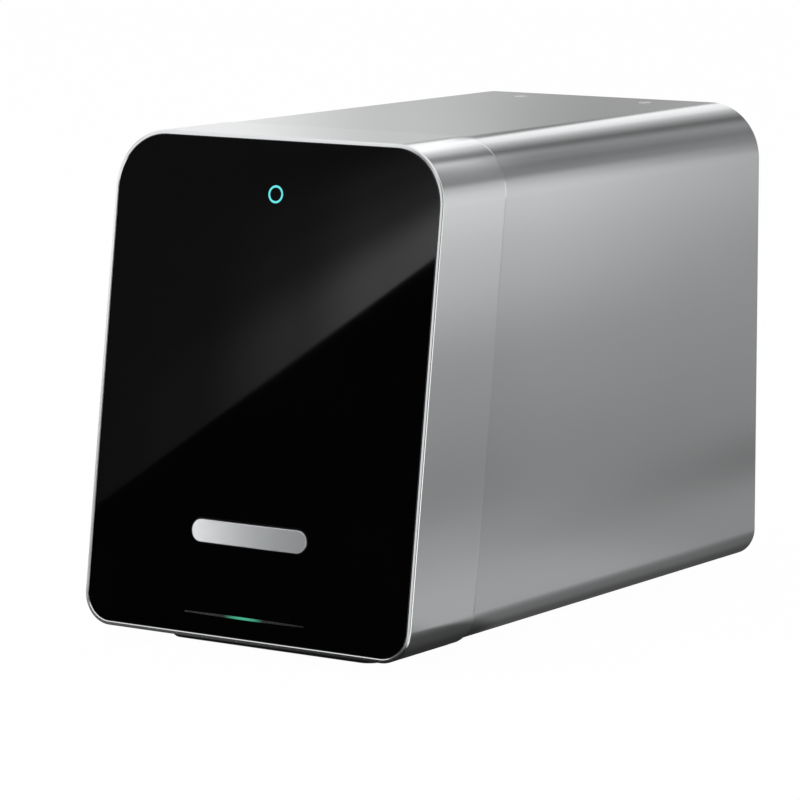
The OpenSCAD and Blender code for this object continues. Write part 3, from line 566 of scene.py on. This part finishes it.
def make_screws():
    skin = Skin()
    for x, y in TOP_SCREWS:
        screw_head(skin, lambda o, h: [(x + u, y + v, SLEEVE_TOP + h) for u, v in o],
                   TOP_SCREW_R, TOP_RISE, TOP_SEAT, TOP_HEX_DEEP)
    skin.piece("top_screw_heads", "housing", "screw_steel", ["top_screws"])
    skin = Skin()
    for x, z in PANEL_SCREWS:
        screw_head(skin, lambda o, h: [(x - u, PANEL_FACE + h, z + v) for u, v in o],
                   PANEL_SCREW_R, PANEL_RISE, PANEL_SEAT, PANEL_HEX_DEEP)
    skin.piece("panel_screw_heads", "housing", "steel", ["panel_screws"])


def make_glass():
    outer_in = RIM_W + GLASS_GAP
    skin = Skin()
    outer = skin.stack([leaning(section(i, i), d) for i, d in
                        ((outer_in + GLASS_EDGE, GLASS_IN), (outer_in, GLASS_IN + GLASS_EDGE),
                         (outer_in, SEAT - GLASS_EDGE), (outer_in + GLASS_EDGE, SEAT))])
    hole = skin.stack([leaning(pill(g), d) for g, d in
                       ((PILL_GAP + GLASS_EDGE, GLASS_IN), (PILL_GAP, GLASS_IN + GLASS_EDGE),
                        (PILL_GAP, SEAT))])
    skin.cap(outer[0], hole[0])
    skin.cap(outer[-1], hole[-1])
    skin.piece("glass", "housing", "black_glass", ["glass_panel"])


def make_ring():
    face = GLASS_IN - PROUD
    inside = RING_R - RING_LINE
    profile = [(RING_R, GLASS_IN + RING_DEEP), (RING_R, face + RING_DROP), (RING_R - LAMP_SOFT, face),
               (inside + LAMP_SOFT, face), (inside, face + RING_DROP), (inside, GLASS_IN + RING_DEEP)]
    skin = Skin()
    skin.stack([on_front(circle(0, RING_UP, r, RING_POINTS), depth) for r, depth in profile], closed=True)
    skin.piece("ring", "housing", "ring_light", ["power_ring"])


def make_status_bar():
    face = GLASS_IN - PROUD
    stations = [2 * k / BAR_STEPS - 1 for k in range(BAR_STEPS + 1)]

    def outline(grow):
        upper = [(s * (BAR_L / 2 + grow), BAR_H / 2 * (1 - BAR_TAPER * s * s) + grow) for s in stations]
        return [(x, BAR_UP + h) for x, h in upper] + [(x, BAR_UP - h) for x, h in reversed(upper)]

    skin = Skin()
    skin.caps(skin.stack([on_front(outline(grow), depth) for grow, depth in
                          ((-LAMP_SOFT, face), (0, face + BAR_DROP), (0, SEAT))]))
    skin.piece("status_bar", "housing", "status_light", ["status_light"])


def tray_outline(grow):
    """The tray's face seen along Y: upper points from left to right, then lower points back again."""
    r, flat = PILL_H / 2 + grow, (PILL_W - PILL_H) / 2
    turn = [math.radians(90 * i / PILL_STEPS) for i in range(PILL_STEPS + 1)]
    end = [(flat + r * math.sin(a), r * math.cos(a)) for a in turn]
    middle = [(flat * k / PILL_FLAT_STEPS, r) for k in range(1 - PILL_FLAT_STEPS, PILL_FLAT_STEPS)]
    upper = [(-x, h) for x, h in reversed(end)] + middle + end
    return [(x, PILL_Z + h) for x, h in upper] + [(x, PILL_Z - h) for x, h in upper[-2:0:-1]]


def make_tray_face():
    """Tray front with a soft edge and a face that is slightly crowned along its length."""
    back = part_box("tray_front")[1].y
    skin = Skin()

    def crowned(grow, depth):
        flat = leaning(tray_outline(grow), depth - PILL_PROUD)
        return [(x, y + PILL_CROWN * (2 * x / PILL_W) ** 2 / COS, z) for x, y, z in flat]

    rings = [crowned(grow * MM, depth * MM) for grow, depth in PILL_EDGE]
    made = skin.stack(rings + [upright(tray_outline(0), back)])
    face, count = made[0], len(made[0])
    for i in range(count // 2):
        corners = (face[i], face[i + 1], face[-i - 1], face[-i])
        skin.mesh.faces.new(list(dict.fromkeys(corners)))
    skin.cap(made[-1])
    skin.piece("tray_face", "tray", "tray_aluminium", ["tray_front"])


def pocket(grow):
    """The plate's pocket with its finger notch, seen from above."""
    half, r = POCKET_W / 2 + grow, NOTCH_R + grow
    low, high = POCKET_Y - grow, POCKET_Y + POCKET_L + grow
    dip = math.asin(min(grow / r, 1)) if grow > 0 else 0
    arc = [math.pi + dip + (math.pi - 2 * dip) * i / NOTCH_STEPS for i in range(NOTCH_STEPS + 1)]
    notch = [(r * math.cos(a), POCKET_Y + r * math.sin(a)) for a in arc]
    corners = []
    for x, y, start in ((half - POCKET_R, low + POCKET_R, -90), (half - POCKET_R, high - POCKET_R, 0),
                        (-half + POCKET_R, high - POCKET_R, 90), (-half + POCKET_R, low + POCKET_R, 180)):
        corners += corner(x, y, POCKET_R, start, POCKET_STEPS)
    return corners + notch


def make_tray_body():
    """Tray with the plate's pocket and its finger notch."""
    low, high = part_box("plate_tray")

    def outline(grow):
        return rounded(0, (low.y + high.y) / 2, high.x - low.x, high.y - low.y, TRAY_R, grow)

    skin = Skin()
    e = SOFT_EDGE
    outer = skin.stack([level(outline(g), z) for g, z in
                        ((-e, low.z), (-EASE * e, low.z + EASE * e), (0, low.z + e), (0, high.z - e),
                         (-EASE * e, high.z - EASE * e), (-e, high.z))])
    floor = low.z + TRAY_FLOOR
    inner = skin.stack([level(pocket(g), z) for g, z in
                        ((e, high.z), (EASE * e, high.z - EASE * e), (0, high.z - e),
                         (0, floor + FLOOR_EASE * e), (-FLOOR_EASE * e, floor))])
    skin.cap(outer[0])
    skin.cap(outer[-1], inner[0])
    skin.cap(inner[-1])
    skin.piece("tray_body", "tray", "dark_plastic", ["plate_tray"])


def make_foot(name, node):
    """A rubber bar with a round lower edge, and seats for its screws underneath."""
    low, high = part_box(node)
    cy, length, width = (low.y + high.y) / 2, high.x - low.x, high.y - low.y

    def outline(grow):
        return rounded(0, cy, length, width, width / 2 - FOOT_END, grow * MM, FOOT_STEPS)

    edge = [(grow, z * MM) for grow, z in FOOT_LOW_EDGE]
    edge += [(grow, high.z - down * MM) for grow, down in FOOT_TOP_EDGE]
    skin = Skin()
    outer = skin.stack([level(outline(grow), z) for grow, z in edge])
    seats = []
    for x in (-FOOT_SCREW_X, FOOT_SCREW_X):
        seat = skin.stack([level(circle(x, cy, r * MM, FOOT_SEAT_POINTS), z * MM) for r, z in FOOT_SEAT])
        skin.cap(seat[-1])
        seats.append(seat[0])
    skin.cap(outer[0], *seats)
    skin.cap(outer[-1])
    skin.piece(name, "housing", "rubber", [node])


def bored(x, r):
    """A round opening in the rear panel, as a function of its growth."""
    return lambda grow: circle(x, PORT_Z, r + grow)


def squared(x, size, gap=0.0):
    """A rounded rectangle in the rear panel, as a function of its growth."""
    w, h, r = size
    return lambda grow: rounded(x, PORT_Z, w + gap, h + gap, r, grow)


def hole_stack(skin, outline, back):
    """A softened hole through the rear panel; returns its front ring and its back ring."""
    made = skin.stack([upright(outline(HOLE_EDGE), PANEL_FACE),
                       upright(outline(EASE * HOLE_EDGE), PANEL_FACE - EASE * HOLE_EDGE),
                       upright(outline(0), PANEL_FACE - HOLE_EDGE), upright(outline(0), back)])
    return made[0], made[-1]


def make_back_panel():
    """Rear panel with openings for the sockets, vents, and seats for its screws."""
    skin = Skin()
    outer = skin.stack([upright(section(PANEL_IN + inset, PANEL_IN + PANEL_DROP + inset), y) for inset, y in
                        ((PANEL_EDGE, PANEL_FACE), (PANEL_EDGE / 4, PANEL_FACE - PANEL_EDGE / 4),
                         (0, PANEL_FACE - PANEL_EDGE), (0, PANEL_BACK))])
    shapes = [bored(INLET_X, INLET_R + PORT_GAP), squared(SOCKET_X, SOCKET_SIZE, PORT_GAP),
              squared(SWITCH_X, SWITCH_SIZE, PORT_GAP)]
    for k in range(VENT_COUNT):
        x = (k - (VENT_COUNT - 1) / 2) * VENT_STEP
        shapes.append(lambda g, x=x: rounded(x, VENT_Z + VENT_H / 2, VENT_W, VENT_H, VENT_W / 2, g))
    fronts, backs = [], []
    for shape in shapes:
        front, back = hole_stack(skin, shape, PANEL_BACK)
        fronts.append(front)
        backs.append(back)
    for x, z in PANEL_SCREWS:
        front, floor = hole_stack(skin, lambda g: circle(x, z, PANEL_SEAT_R + g, PANEL_SEAT_POINTS),
                                  PANEL_FACE - PANEL_SEAT)
        skin.cap(floor)
        fronts.append(front)
    skin.cap(outer[0], *fronts)
    skin.cap(outer[-1], *backs)
    skin.piece("back_panel", "housing", "dark_plastic", ["rear_panel"])


def make_sockets():
    """Power inlet, data socket and switch, each with its opening and what stands in it."""
    low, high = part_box("power_inlet")
    face, rear, e = high.y, low.y, SOFT_EDGE
    for name, node, material, outer, inner, deep in (
            ("inlet", "power_inlet", "gloss_black", bored(INLET_X, INLET_R),
             bored(INLET_X, INLET_BORE), PORT_DEEP),
            ("data_socket", "data_port", "port_metal", squared(SOCKET_X, SOCKET_SIZE),
             squared(SOCKET_X, SOCKET_WELL), PORT_DEEP),
            ("switch_bezel", "switch_body", "gloss_black", squared(SWITCH_X, SWITCH_SIZE),
             squared(SWITCH_X, SWITCH_WELL), SWITCH_DEEP)):
        skin = Skin()
        made = skin.stack([upright(outer(grow), y) for grow, y in
                           ((0, rear), (0, face - e), (-EASE * e, face - EASE * e), (-e, face))])
        sunk = skin.stack([upright(inner(grow), y) for grow, y in
                           ((e, face), (EASE * e, face - EASE * e), (0, face - e), (0, face - deep))])
        skin.cap(made[-1], sunk[0])
        skin.cap(made[0])
        skin.cap(sunk[-1])
        skin.piece(name, "housing", material, [node])
    skin = Skin()
    skin.caps(skin.stack([upright(circle(INLET_X, PORT_Z, r * MM, PIN_POINTS), face - depth * MM)
                          for r, depth in PIN_PROFILE]))
    skin.piece("inlet_pin", "housing", "port_metal")
    skin = Skin()
    tongue = squared(SOCKET_X, TONGUE_SIZE)
    skin.caps(skin.stack([upright(tongue(grow * MM), face - depth * MM) for grow, depth in TONGUE_PROFILE]))
    skin.piece("socket_tongue", "housing", "gloss_black")


def make_rocker():
    """Rocker with a hollow face, tipped as it rests."""
    half_w, half_h, dip, rise, deep = 4.8 * MM, 8 * MM, 0.6 * MM, 2.2 * MM, 3.5 * MM
    lip, shoulder, step, foot_in = 0.12 * MM, 0.9 * MM, 0.15 * MM, 2 * MM
    pivot_y = Y_REAR - ROCKER_IN
    places = [i / 12 for i in range(-12, 13)]
    outline = [(dip + (rise - dip) * k * k - lip * k ** 8, half_h * k) for k in places]
    outline += [(rise - shoulder, half_h - step), (-deep, half_h - foot_in), (-deep, -half_h + foot_in),
                (rise - shoulder, -half_h + step)]
    cos, sin = math.cos(ROCKER_TILT), math.sin(ROCKER_TILT)

    def ring(x, shrink):
        points = []
        for y, z in outline:
            y, z = y * (1 - shrink / deep), z * (1 - shrink / half_h)
            points.append((SWITCH_X + x, pivot_y + y * cos - z * sin, PORT_Z + y * sin + z * cos))
        return points

    e = SOFT_EDGE
    skin = Skin()
    skin.caps(skin.stack([ring(x, s) for x, s in
                          ((-half_w, e), (-half_w + EASE * e, EASE * e), (-half_w + e, 0),
                           (half_w - e, 0), (half_w - EASE * e, EASE * e), (half_w, e))]))
    skin.piece("rocker", "power_rocker", "gloss_black", ["power_rocker"])


make_collar()
make_sleeve()
make_screws()
make_glass()
make_ring()
make_status_bar()
make_tray_face()
make_tray_body()
make_foot("front_foot_bar", "front_foot")
make_foot("rear_foot_bar", "rear_foot")
make_back_panel()
make_sockets()
make_rocker()


def pixel_ray(px, py):
    """The direction from the camera through a pixel of the 800 by 800 image."""
    ray = Vector(((px - IMAGE / 2) / FOCAL_PX, -(py - IMAGE / 2) / FOCAL_PX, -1))
    return (CAMERA_TURN.to_matrix() @ ray).normalized()


def seen_in_glass(px, py, reach):
    """The point that the camera sees mirrored in the glass at a pixel, at a distance from the glass."""
    normal = Vector((0, -COS, SIN))
    ray = pixel_ray(px, py)
    on_glass = Vector((0, Y_FRONT + GLASS_IN / COS, Z0))
    hit = CAMERA_AT + ray * ((on_glass - CAMERA_AT).dot(normal) / ray.dot(normal))
    return hit + (ray - normal * (2 * ray.dot(normal))) * reach


CARD_LIFT = 0.0004
CARD_STEPS = 12


def card(name, corners, glow):
    """A studio card that only reflections see: corners go round from u, v = 0, 0, and glow is its light."""
    mesh = bmesh.new()
    layer = mesh.loops.layers.uv.new("card")
    a, b, c, d = (Vector(p) for p in corners)
    places = [i / CARD_STEPS for i in range(CARD_STEPS + 1)]
    grid = [[mesh.verts.new((a * (1 - u) + b * u) * (1 - v) + (d * (1 - u) + c * u) * v) for u in places]
            for v in places]
    for j in range(CARD_STEPS):
        for i in range(CARD_STEPS):
            cells = ((i, j), (i + 1, j), (i + 1, j + 1), (i, j + 1))
            made = mesh.faces.new([grid[q][p] for p, q in cells])
            for loop, (p, q) in zip(made.loops, cells):
                loop[layer].uv = (places[p], places[q])
    obj = put_mesh(name, mesh)
    material = bpy.data.materials.new(name)
    material.use_nodes = True
    material.node_tree.nodes.clear()
    t = Tree(material.node_tree)
    at = t.add("ShaderNodeTexCoord", out="UV")
    u = t.add("ShaderNodeSeparateXYZ", None, {0: at}, out="X")
    v = t.add("ShaderNodeSeparateXYZ", None, {0: at}, out="Y")
    light = t.add("ShaderNodeEmission", None, {"Color": (1, 1, 1, 1), "Strength": glow(t, u, v)})
    output = material.node_tree.nodes.new("ShaderNodeOutputMaterial")
    t.feed(output.inputs["Surface"], light)
    obj.data.materials.append(material)
    obj.visible_camera = obj.visible_diffuse = obj.visible_shadow = obj.visible_transmission = False


def glass_card(name, pixels, reach, glow):
    """A card that the glass mirrors between four pixels of the image."""
    card(name, [seen_in_glass(px, py, reach) for px, py in pixels], glow)


def level_card(name, across, along, glow):
    """A card that lies on the floor."""
    (left, right), (near, far) = across, along
    card(name, level(((left, near), (right, near), (right, far), (left, far)), CARD_LIFT), glow)


def side_card(name, x, along, height, glow):
    """A card that stands beside the part."""
    near, far = along
    card(name, [(x, near, 0), (x, far, 0), (x, far, height), (x, near, height)], glow)


def tones(t, value, stops):
    """A smooth run of light levels along value, from stops of (place, level)."""
    wire = stops[0][1]
    for (a, low), (b, high) in zip(stops, stops[1:]):
        wire = wire + t.ramp(value, a, b) * (high - low)
    return wire


# What the glass mirrors: pixels at the cards' corners, and levels along u and v
GLASS_REACH, FLAG_REACH = 0.70, 0.75
FLAG_PIXELS = ((60, 1000), (760, 1000), (760, -250), (60, 20))
GLASS_PIXELS = ((60, 532), (470, 231.8), (470, 40), (60, 40))
GLASS_BASE = 0.085
GLASS_ACROSS = ((0.1, 0.0), (0.34, 0.05), (0.585, 0.36), (0.78, 0.95), (1.0, 1.25))
GLASS_UP = ((0.0, 1.1), (0.02, 1.0), (0.1, 1.0), (0.3, 0.25), (0.43, 0.13), (0.6, 0.0))
TRAY_PIXELS = ((-500, 900), (60, 900), (60, -100), (-500, -100))
TRAY_BASE = ((0.28, 0.3), (0.77, 1.15))
TRAY_STRIP_ACROSS = ((0.76, 0.0), (0.80, 6.7))
TRAY_STRIP_UP = ((0.22, 0.0), (0.29, 1.0), (0.44, 1.0), (0.51, 0.0))

# Light levels along the other cards, by their place in metres
FLAG_LEFT, FLAG_RIGHT, FLAG_TOP, FLAG_LEVEL = (-0.17, -1.90), (1.65, -0.95), 1.2, 0.12
# The floor cards' low levels under the part and just before it are a painted shadow of the part, seen only in
# reflections
FLOOR_LEVELS = ((-0.05, 0.10), (0.055, 0.08), (0.065, 0.165), (0.10, 0.44), (0.13, 0.43), (0.18, 0.28),
                (0.6, 0.12))
FLOOR_DEPTH = ((-0.052, 0.38), (-0.036, 1.05), (0.06, 1.03), (0.16, 0.76), (0.26, 0.76), (0.4, 1.3))
FRONT_LEVELS = ((-0.7, 0.9), (-0.12, 0.6), (0.05, 0.08))
# Low level near the part along Y: a painted contact shadow on the front floor card
FRONT_SHADOW_DEPTH = ((-0.3, 1.0), (-0.12, 0.2))
LEFT_LEVELS = ((0.02, 0.5), (0.17, 1.15), (0.21, 1.0), (0.28, 0.5))
TOP_Y = 0.26
TOP_OUTLINES = {"top_card": ((-0.55, 0.0), (0.058, 0.0), (0.058, 0.165), (-0.55, 0.165)),
                "top_card_cut": ((-0.55, 0.165), (0.058, 0.165), (-0.19, 0.235), (-0.55, 0.235))}
TOP_LEVELS = ((-0.55, 0.98), (-0.28, 0.93), (-0.19, 0.60), (-0.09, 0.38), (-0.04, 0.40), (0.0, 0.17),
              (0.058, 0.0))
FAR_Y = 1.4
FAR_OUTLINE = ((-1.6, 0.25), (1.8, 0.25), (1.8, 1.6), (-1.6, 1.6))
FAR_LEVELS = ((-1.1, 1.0), (-0.87, 0.2), (-0.74, 0.2), (-0.62, 1.18), (-0.42, 1.06), (-0.24, 0.57),
              (-0.06, 0.29), (0.07, 0.10), (0.16, 0.18), (0.28, 0.36), (0.6, 0.14), (0.9, 2.6))
COLLAR_Y = 0.1
COLLAR_OUTLINES = {"collar_card_left": ((-0.10, 0.232), (-0.046, 0.203), (-0.01, 0.246), (-0.01, 0.31)),
                   "collar_card": ((-0.01, 0.246), (0.085, 0.249), (0.085, 0.31), (-0.01, 0.31)),
                   "collar_card_right": ((0.085, 0.249), (0.145, 0.205), (0.19, 0.24), (0.085, 0.31))}
COLLAR_LEVELS = ((-0.07, 1.15), (-0.01, 1.28), (0.026, 0.66), (0.052, 0.24), (0.065, 0.13), (0.087, 0.82),
                 (0.10, 0.65), (0.12, 0.40), (0.145, 0.28))
SIDE_X, SIDE_END = 0.16, 0.40
SIDE_FRONT = ((0.0, 0.42), (0.02, 0.27), (0.06, 0.34), (0.10, 0.60), (0.12, 0.81), (0.155, 0.77),
              (0.18, 0.62), (0.21, 0.21), (0.27, 0.18), (0.34, 0.25))
SIDE_REAR = ((0.0, 0.1), (0.02, 0.30), (0.08, 0.345), (0.12, 0.48), (0.145, 0.46), (0.165, 0.33),
             (0.21, 0.25), (0.27, 0.19), (0.34, 0.27))
SIDE_BLEND = (0.06, 0.30)
SIDE_GAIN = ((0.085, 0.95), (0.125, 1.06), (0.25, 1.0))
SIDE_FADE = ((-0.25, 0.0), (0.01, 1.0))
SIDE_STRIP = ((-0.21, 0.0), (-0.19, 1.0), (-0.125, 1.0), (-0.11, 0.0))


def side_glow(t, u, v):
    """The light beside the part: brighter at half height and near the front, and a strip for the rim."""
    y, z = t.axis("Y"), t.axis("Z")
    start, end = SIDE_BLEND
    back = t.add("ShaderNodeMapRange", None, {"Value": y, "From Min": start, "From Max": end})
    shade = tones(t, z, SIDE_FRONT) * (1 - back) + tones(t, z, SIDE_REAR) * back
    return 1 + (shade * tones(t, y, SIDE_GAIN) - 1) * tones(t, y, SIDE_FADE) + tones(t, y, SIDE_STRIP)


def make_studio():
    # Behind the camera on the left: a black flag, and before it a card whose lower edge crosses the glass
    glass_card("glass_flag", FLAG_PIXELS, FLAG_REACH, lambda t, u, v: u * 0.002)
    glass_card("glass_card", GLASS_PIXELS, GLASS_REACH,
               lambda t, u, v: GLASS_BASE + tones(t, u, GLASS_ACROSS) * tones(t, v, GLASS_UP))
    # Behind the camera: a dark card, which the rim's facets that face the camera see
    corners = level((FLAG_LEFT, FLAG_RIGHT), CARD_LIFT) + level((FLAG_RIGHT, FLAG_LEFT), FLAG_TOP)
    card("camera_flag", corners, lambda t, u, v: FLAG_LEVEL + u * 0.01)
    # To the left of what the glass mirrors: the glow that the tray's face catches
    glass_card("tray_card", TRAY_PIXELS, FLAG_REACH, lambda t, u, v: tones(t, v, TRAY_BASE)
               + tones(t, u, TRAY_STRIP_ACROSS) * tones(t, v, TRAY_STRIP_UP))
    # On the left: what the rim and the left side catch, brightest just above the part
    side_card("left_card", -0.5, (-0.4, 0.5), 0.4, lambda t, u, v: tones(t, t.axis("Z"), LEFT_LEVELS))
    # On the floor: dark under the part and before it, a painted shadow of the part that only reflections see,
    # and lit to its right
    level_card("front_floor_card", (-0.7, 0.07), (-1.2, -0.09),
               lambda t, u, v: tones(t, t.axis("X"), FRONT_LEVELS) * tones(t, t.axis("Y"), FRONT_SHADOW_DEPTH))
    level_card("floor_card", (-0.062, 0.6), (-0.09, 2.0),
               lambda t, u, v: tones(t, t.axis("X"), FLOOR_LEVELS) * tones(t, t.axis("Y"), FLOOR_DEPTH))
    # Behind the part: a card for the top face, cut on its right so that the fillet sees past it; a far one
    for name, outline in TOP_OUTLINES.items():
        card(name, upright(outline, TOP_Y), lambda t, u, v: tones(t, t.axis("X"), TOP_LEVELS))
    card("far_card", upright(FAR_OUTLINE, FAR_Y), lambda t, u, v: tones(t, t.axis("X"), FAR_LEVELS))
    # Above the part: what the collar's fillet sees, and the sleeve's doesn't
    for name, outline in COLLAR_OUTLINES.items():
        card(name, upright(outline, COLLAR_Y), lambda t, u, v: tones(t, t.axis("X"), COLLAR_LEVELS))
    # On the right, and past its end a card for the glint on the collar's rear edge
    side_card("side_card", SIDE_X, (-0.25, SIDE_END), 0.34, side_glow)
    side_card("seam_card", SIDE_X, (SIDE_END, 0.80), 0.2, lambda t, u, v: 1.1 - 0.1 * v)


AMBIENT = 0.55
FLOOR_SIZE, FLOOR_SEEN = 8, 0.985
LAMPS = (("key", (-0.9, -0.7, 1.7), 1.2, 16), ("fill", (1.2, 0.3, 1.4), 1.0, 7))
LAMP_AIM = Vector((0, 0, 0.08))


def seen_rays(t):
    """1 for the rays that show the studio itself: the camera's, and mirrored and refracted ones."""
    total = 0
    for name in ("Is Camera Ray", "Is Glossy Ray", "Is Transmission Ray"):
        total = total + t.add("ShaderNodeLightPath", out=name)
    return total


def make_floor_and_light():
    """White surroundings, a pale floor that keeps the shadow, and two soft lamps."""
    world = bpy.data.worlds.new("studio")
    bpy.context.scene.world = world
    world.use_nodes = True
    t = Tree(world.node_tree)
    background = world.node_tree.nodes["Background"]
    t.feed(background.inputs["Color"], (1, 1, 1, 1))
    t.feed(background.inputs["Strength"], AMBIENT + (1 - AMBIENT) * t.ramp(seen_rays(t), 0, 1))
    mesh = bmesh.new()
    bmesh.ops.create_grid(mesh, x_segments=8, y_segments=8, size=FLOOR_SIZE)
    floor = put_mesh("floor", mesh)
    material = bpy.data.materials.new("floor")
    material.use_nodes = True
    t = Tree(material.node_tree)
    nodes = material.node_tree.nodes
    shader = nodes["Principled BSDF"]
    t.feed(shader.inputs["Base Color"], t.tint(t.noise(400, 2), grey(0.80), grey(0.82)))
    t.feed(shader.inputs["Roughness"], 0.9)
    glow = t.add("ShaderNodeEmission", None, {"Strength": 1.0})
    mixed = t.add("ShaderNodeMixShader", None,
                  {0: seen_rays(t) * FLOOR_SEEN, 1: Wire(t, shader.outputs[0]), 2: glow})
    t.feed(nodes["Material Output"].inputs["Surface"], mixed)
    floor.data.materials.append(material)
    for name, at, size, power in LAMPS:
        lamp = bpy.data.lights.new(name, "AREA")
        lamp.size, lamp.energy = size, power
        obj = put(name, lamp)
        obj.location = at
        obj.rotation_euler = (LAMP_AIM - obj.location).to_track_quat("-Z", "Y").to_euler()
        obj.visible_glossy = False


def make_camera():
    lens = bpy.data.cameras.new("camera")
    lens.sensor_width = SENSOR
    lens.lens = FOCAL_PX / IMAGE * SENSOR
    lens.clip_end = 50
    camera = put("camera", lens)
    camera.location, camera.rotation_euler = CAMERA_AT, CAMERA_TURN
    bpy.context.scene.camera = camera


make_studio()
make_floor_and_light()
make_camera()
bpy.context.scene.view_settings.view_transform = "Standard"
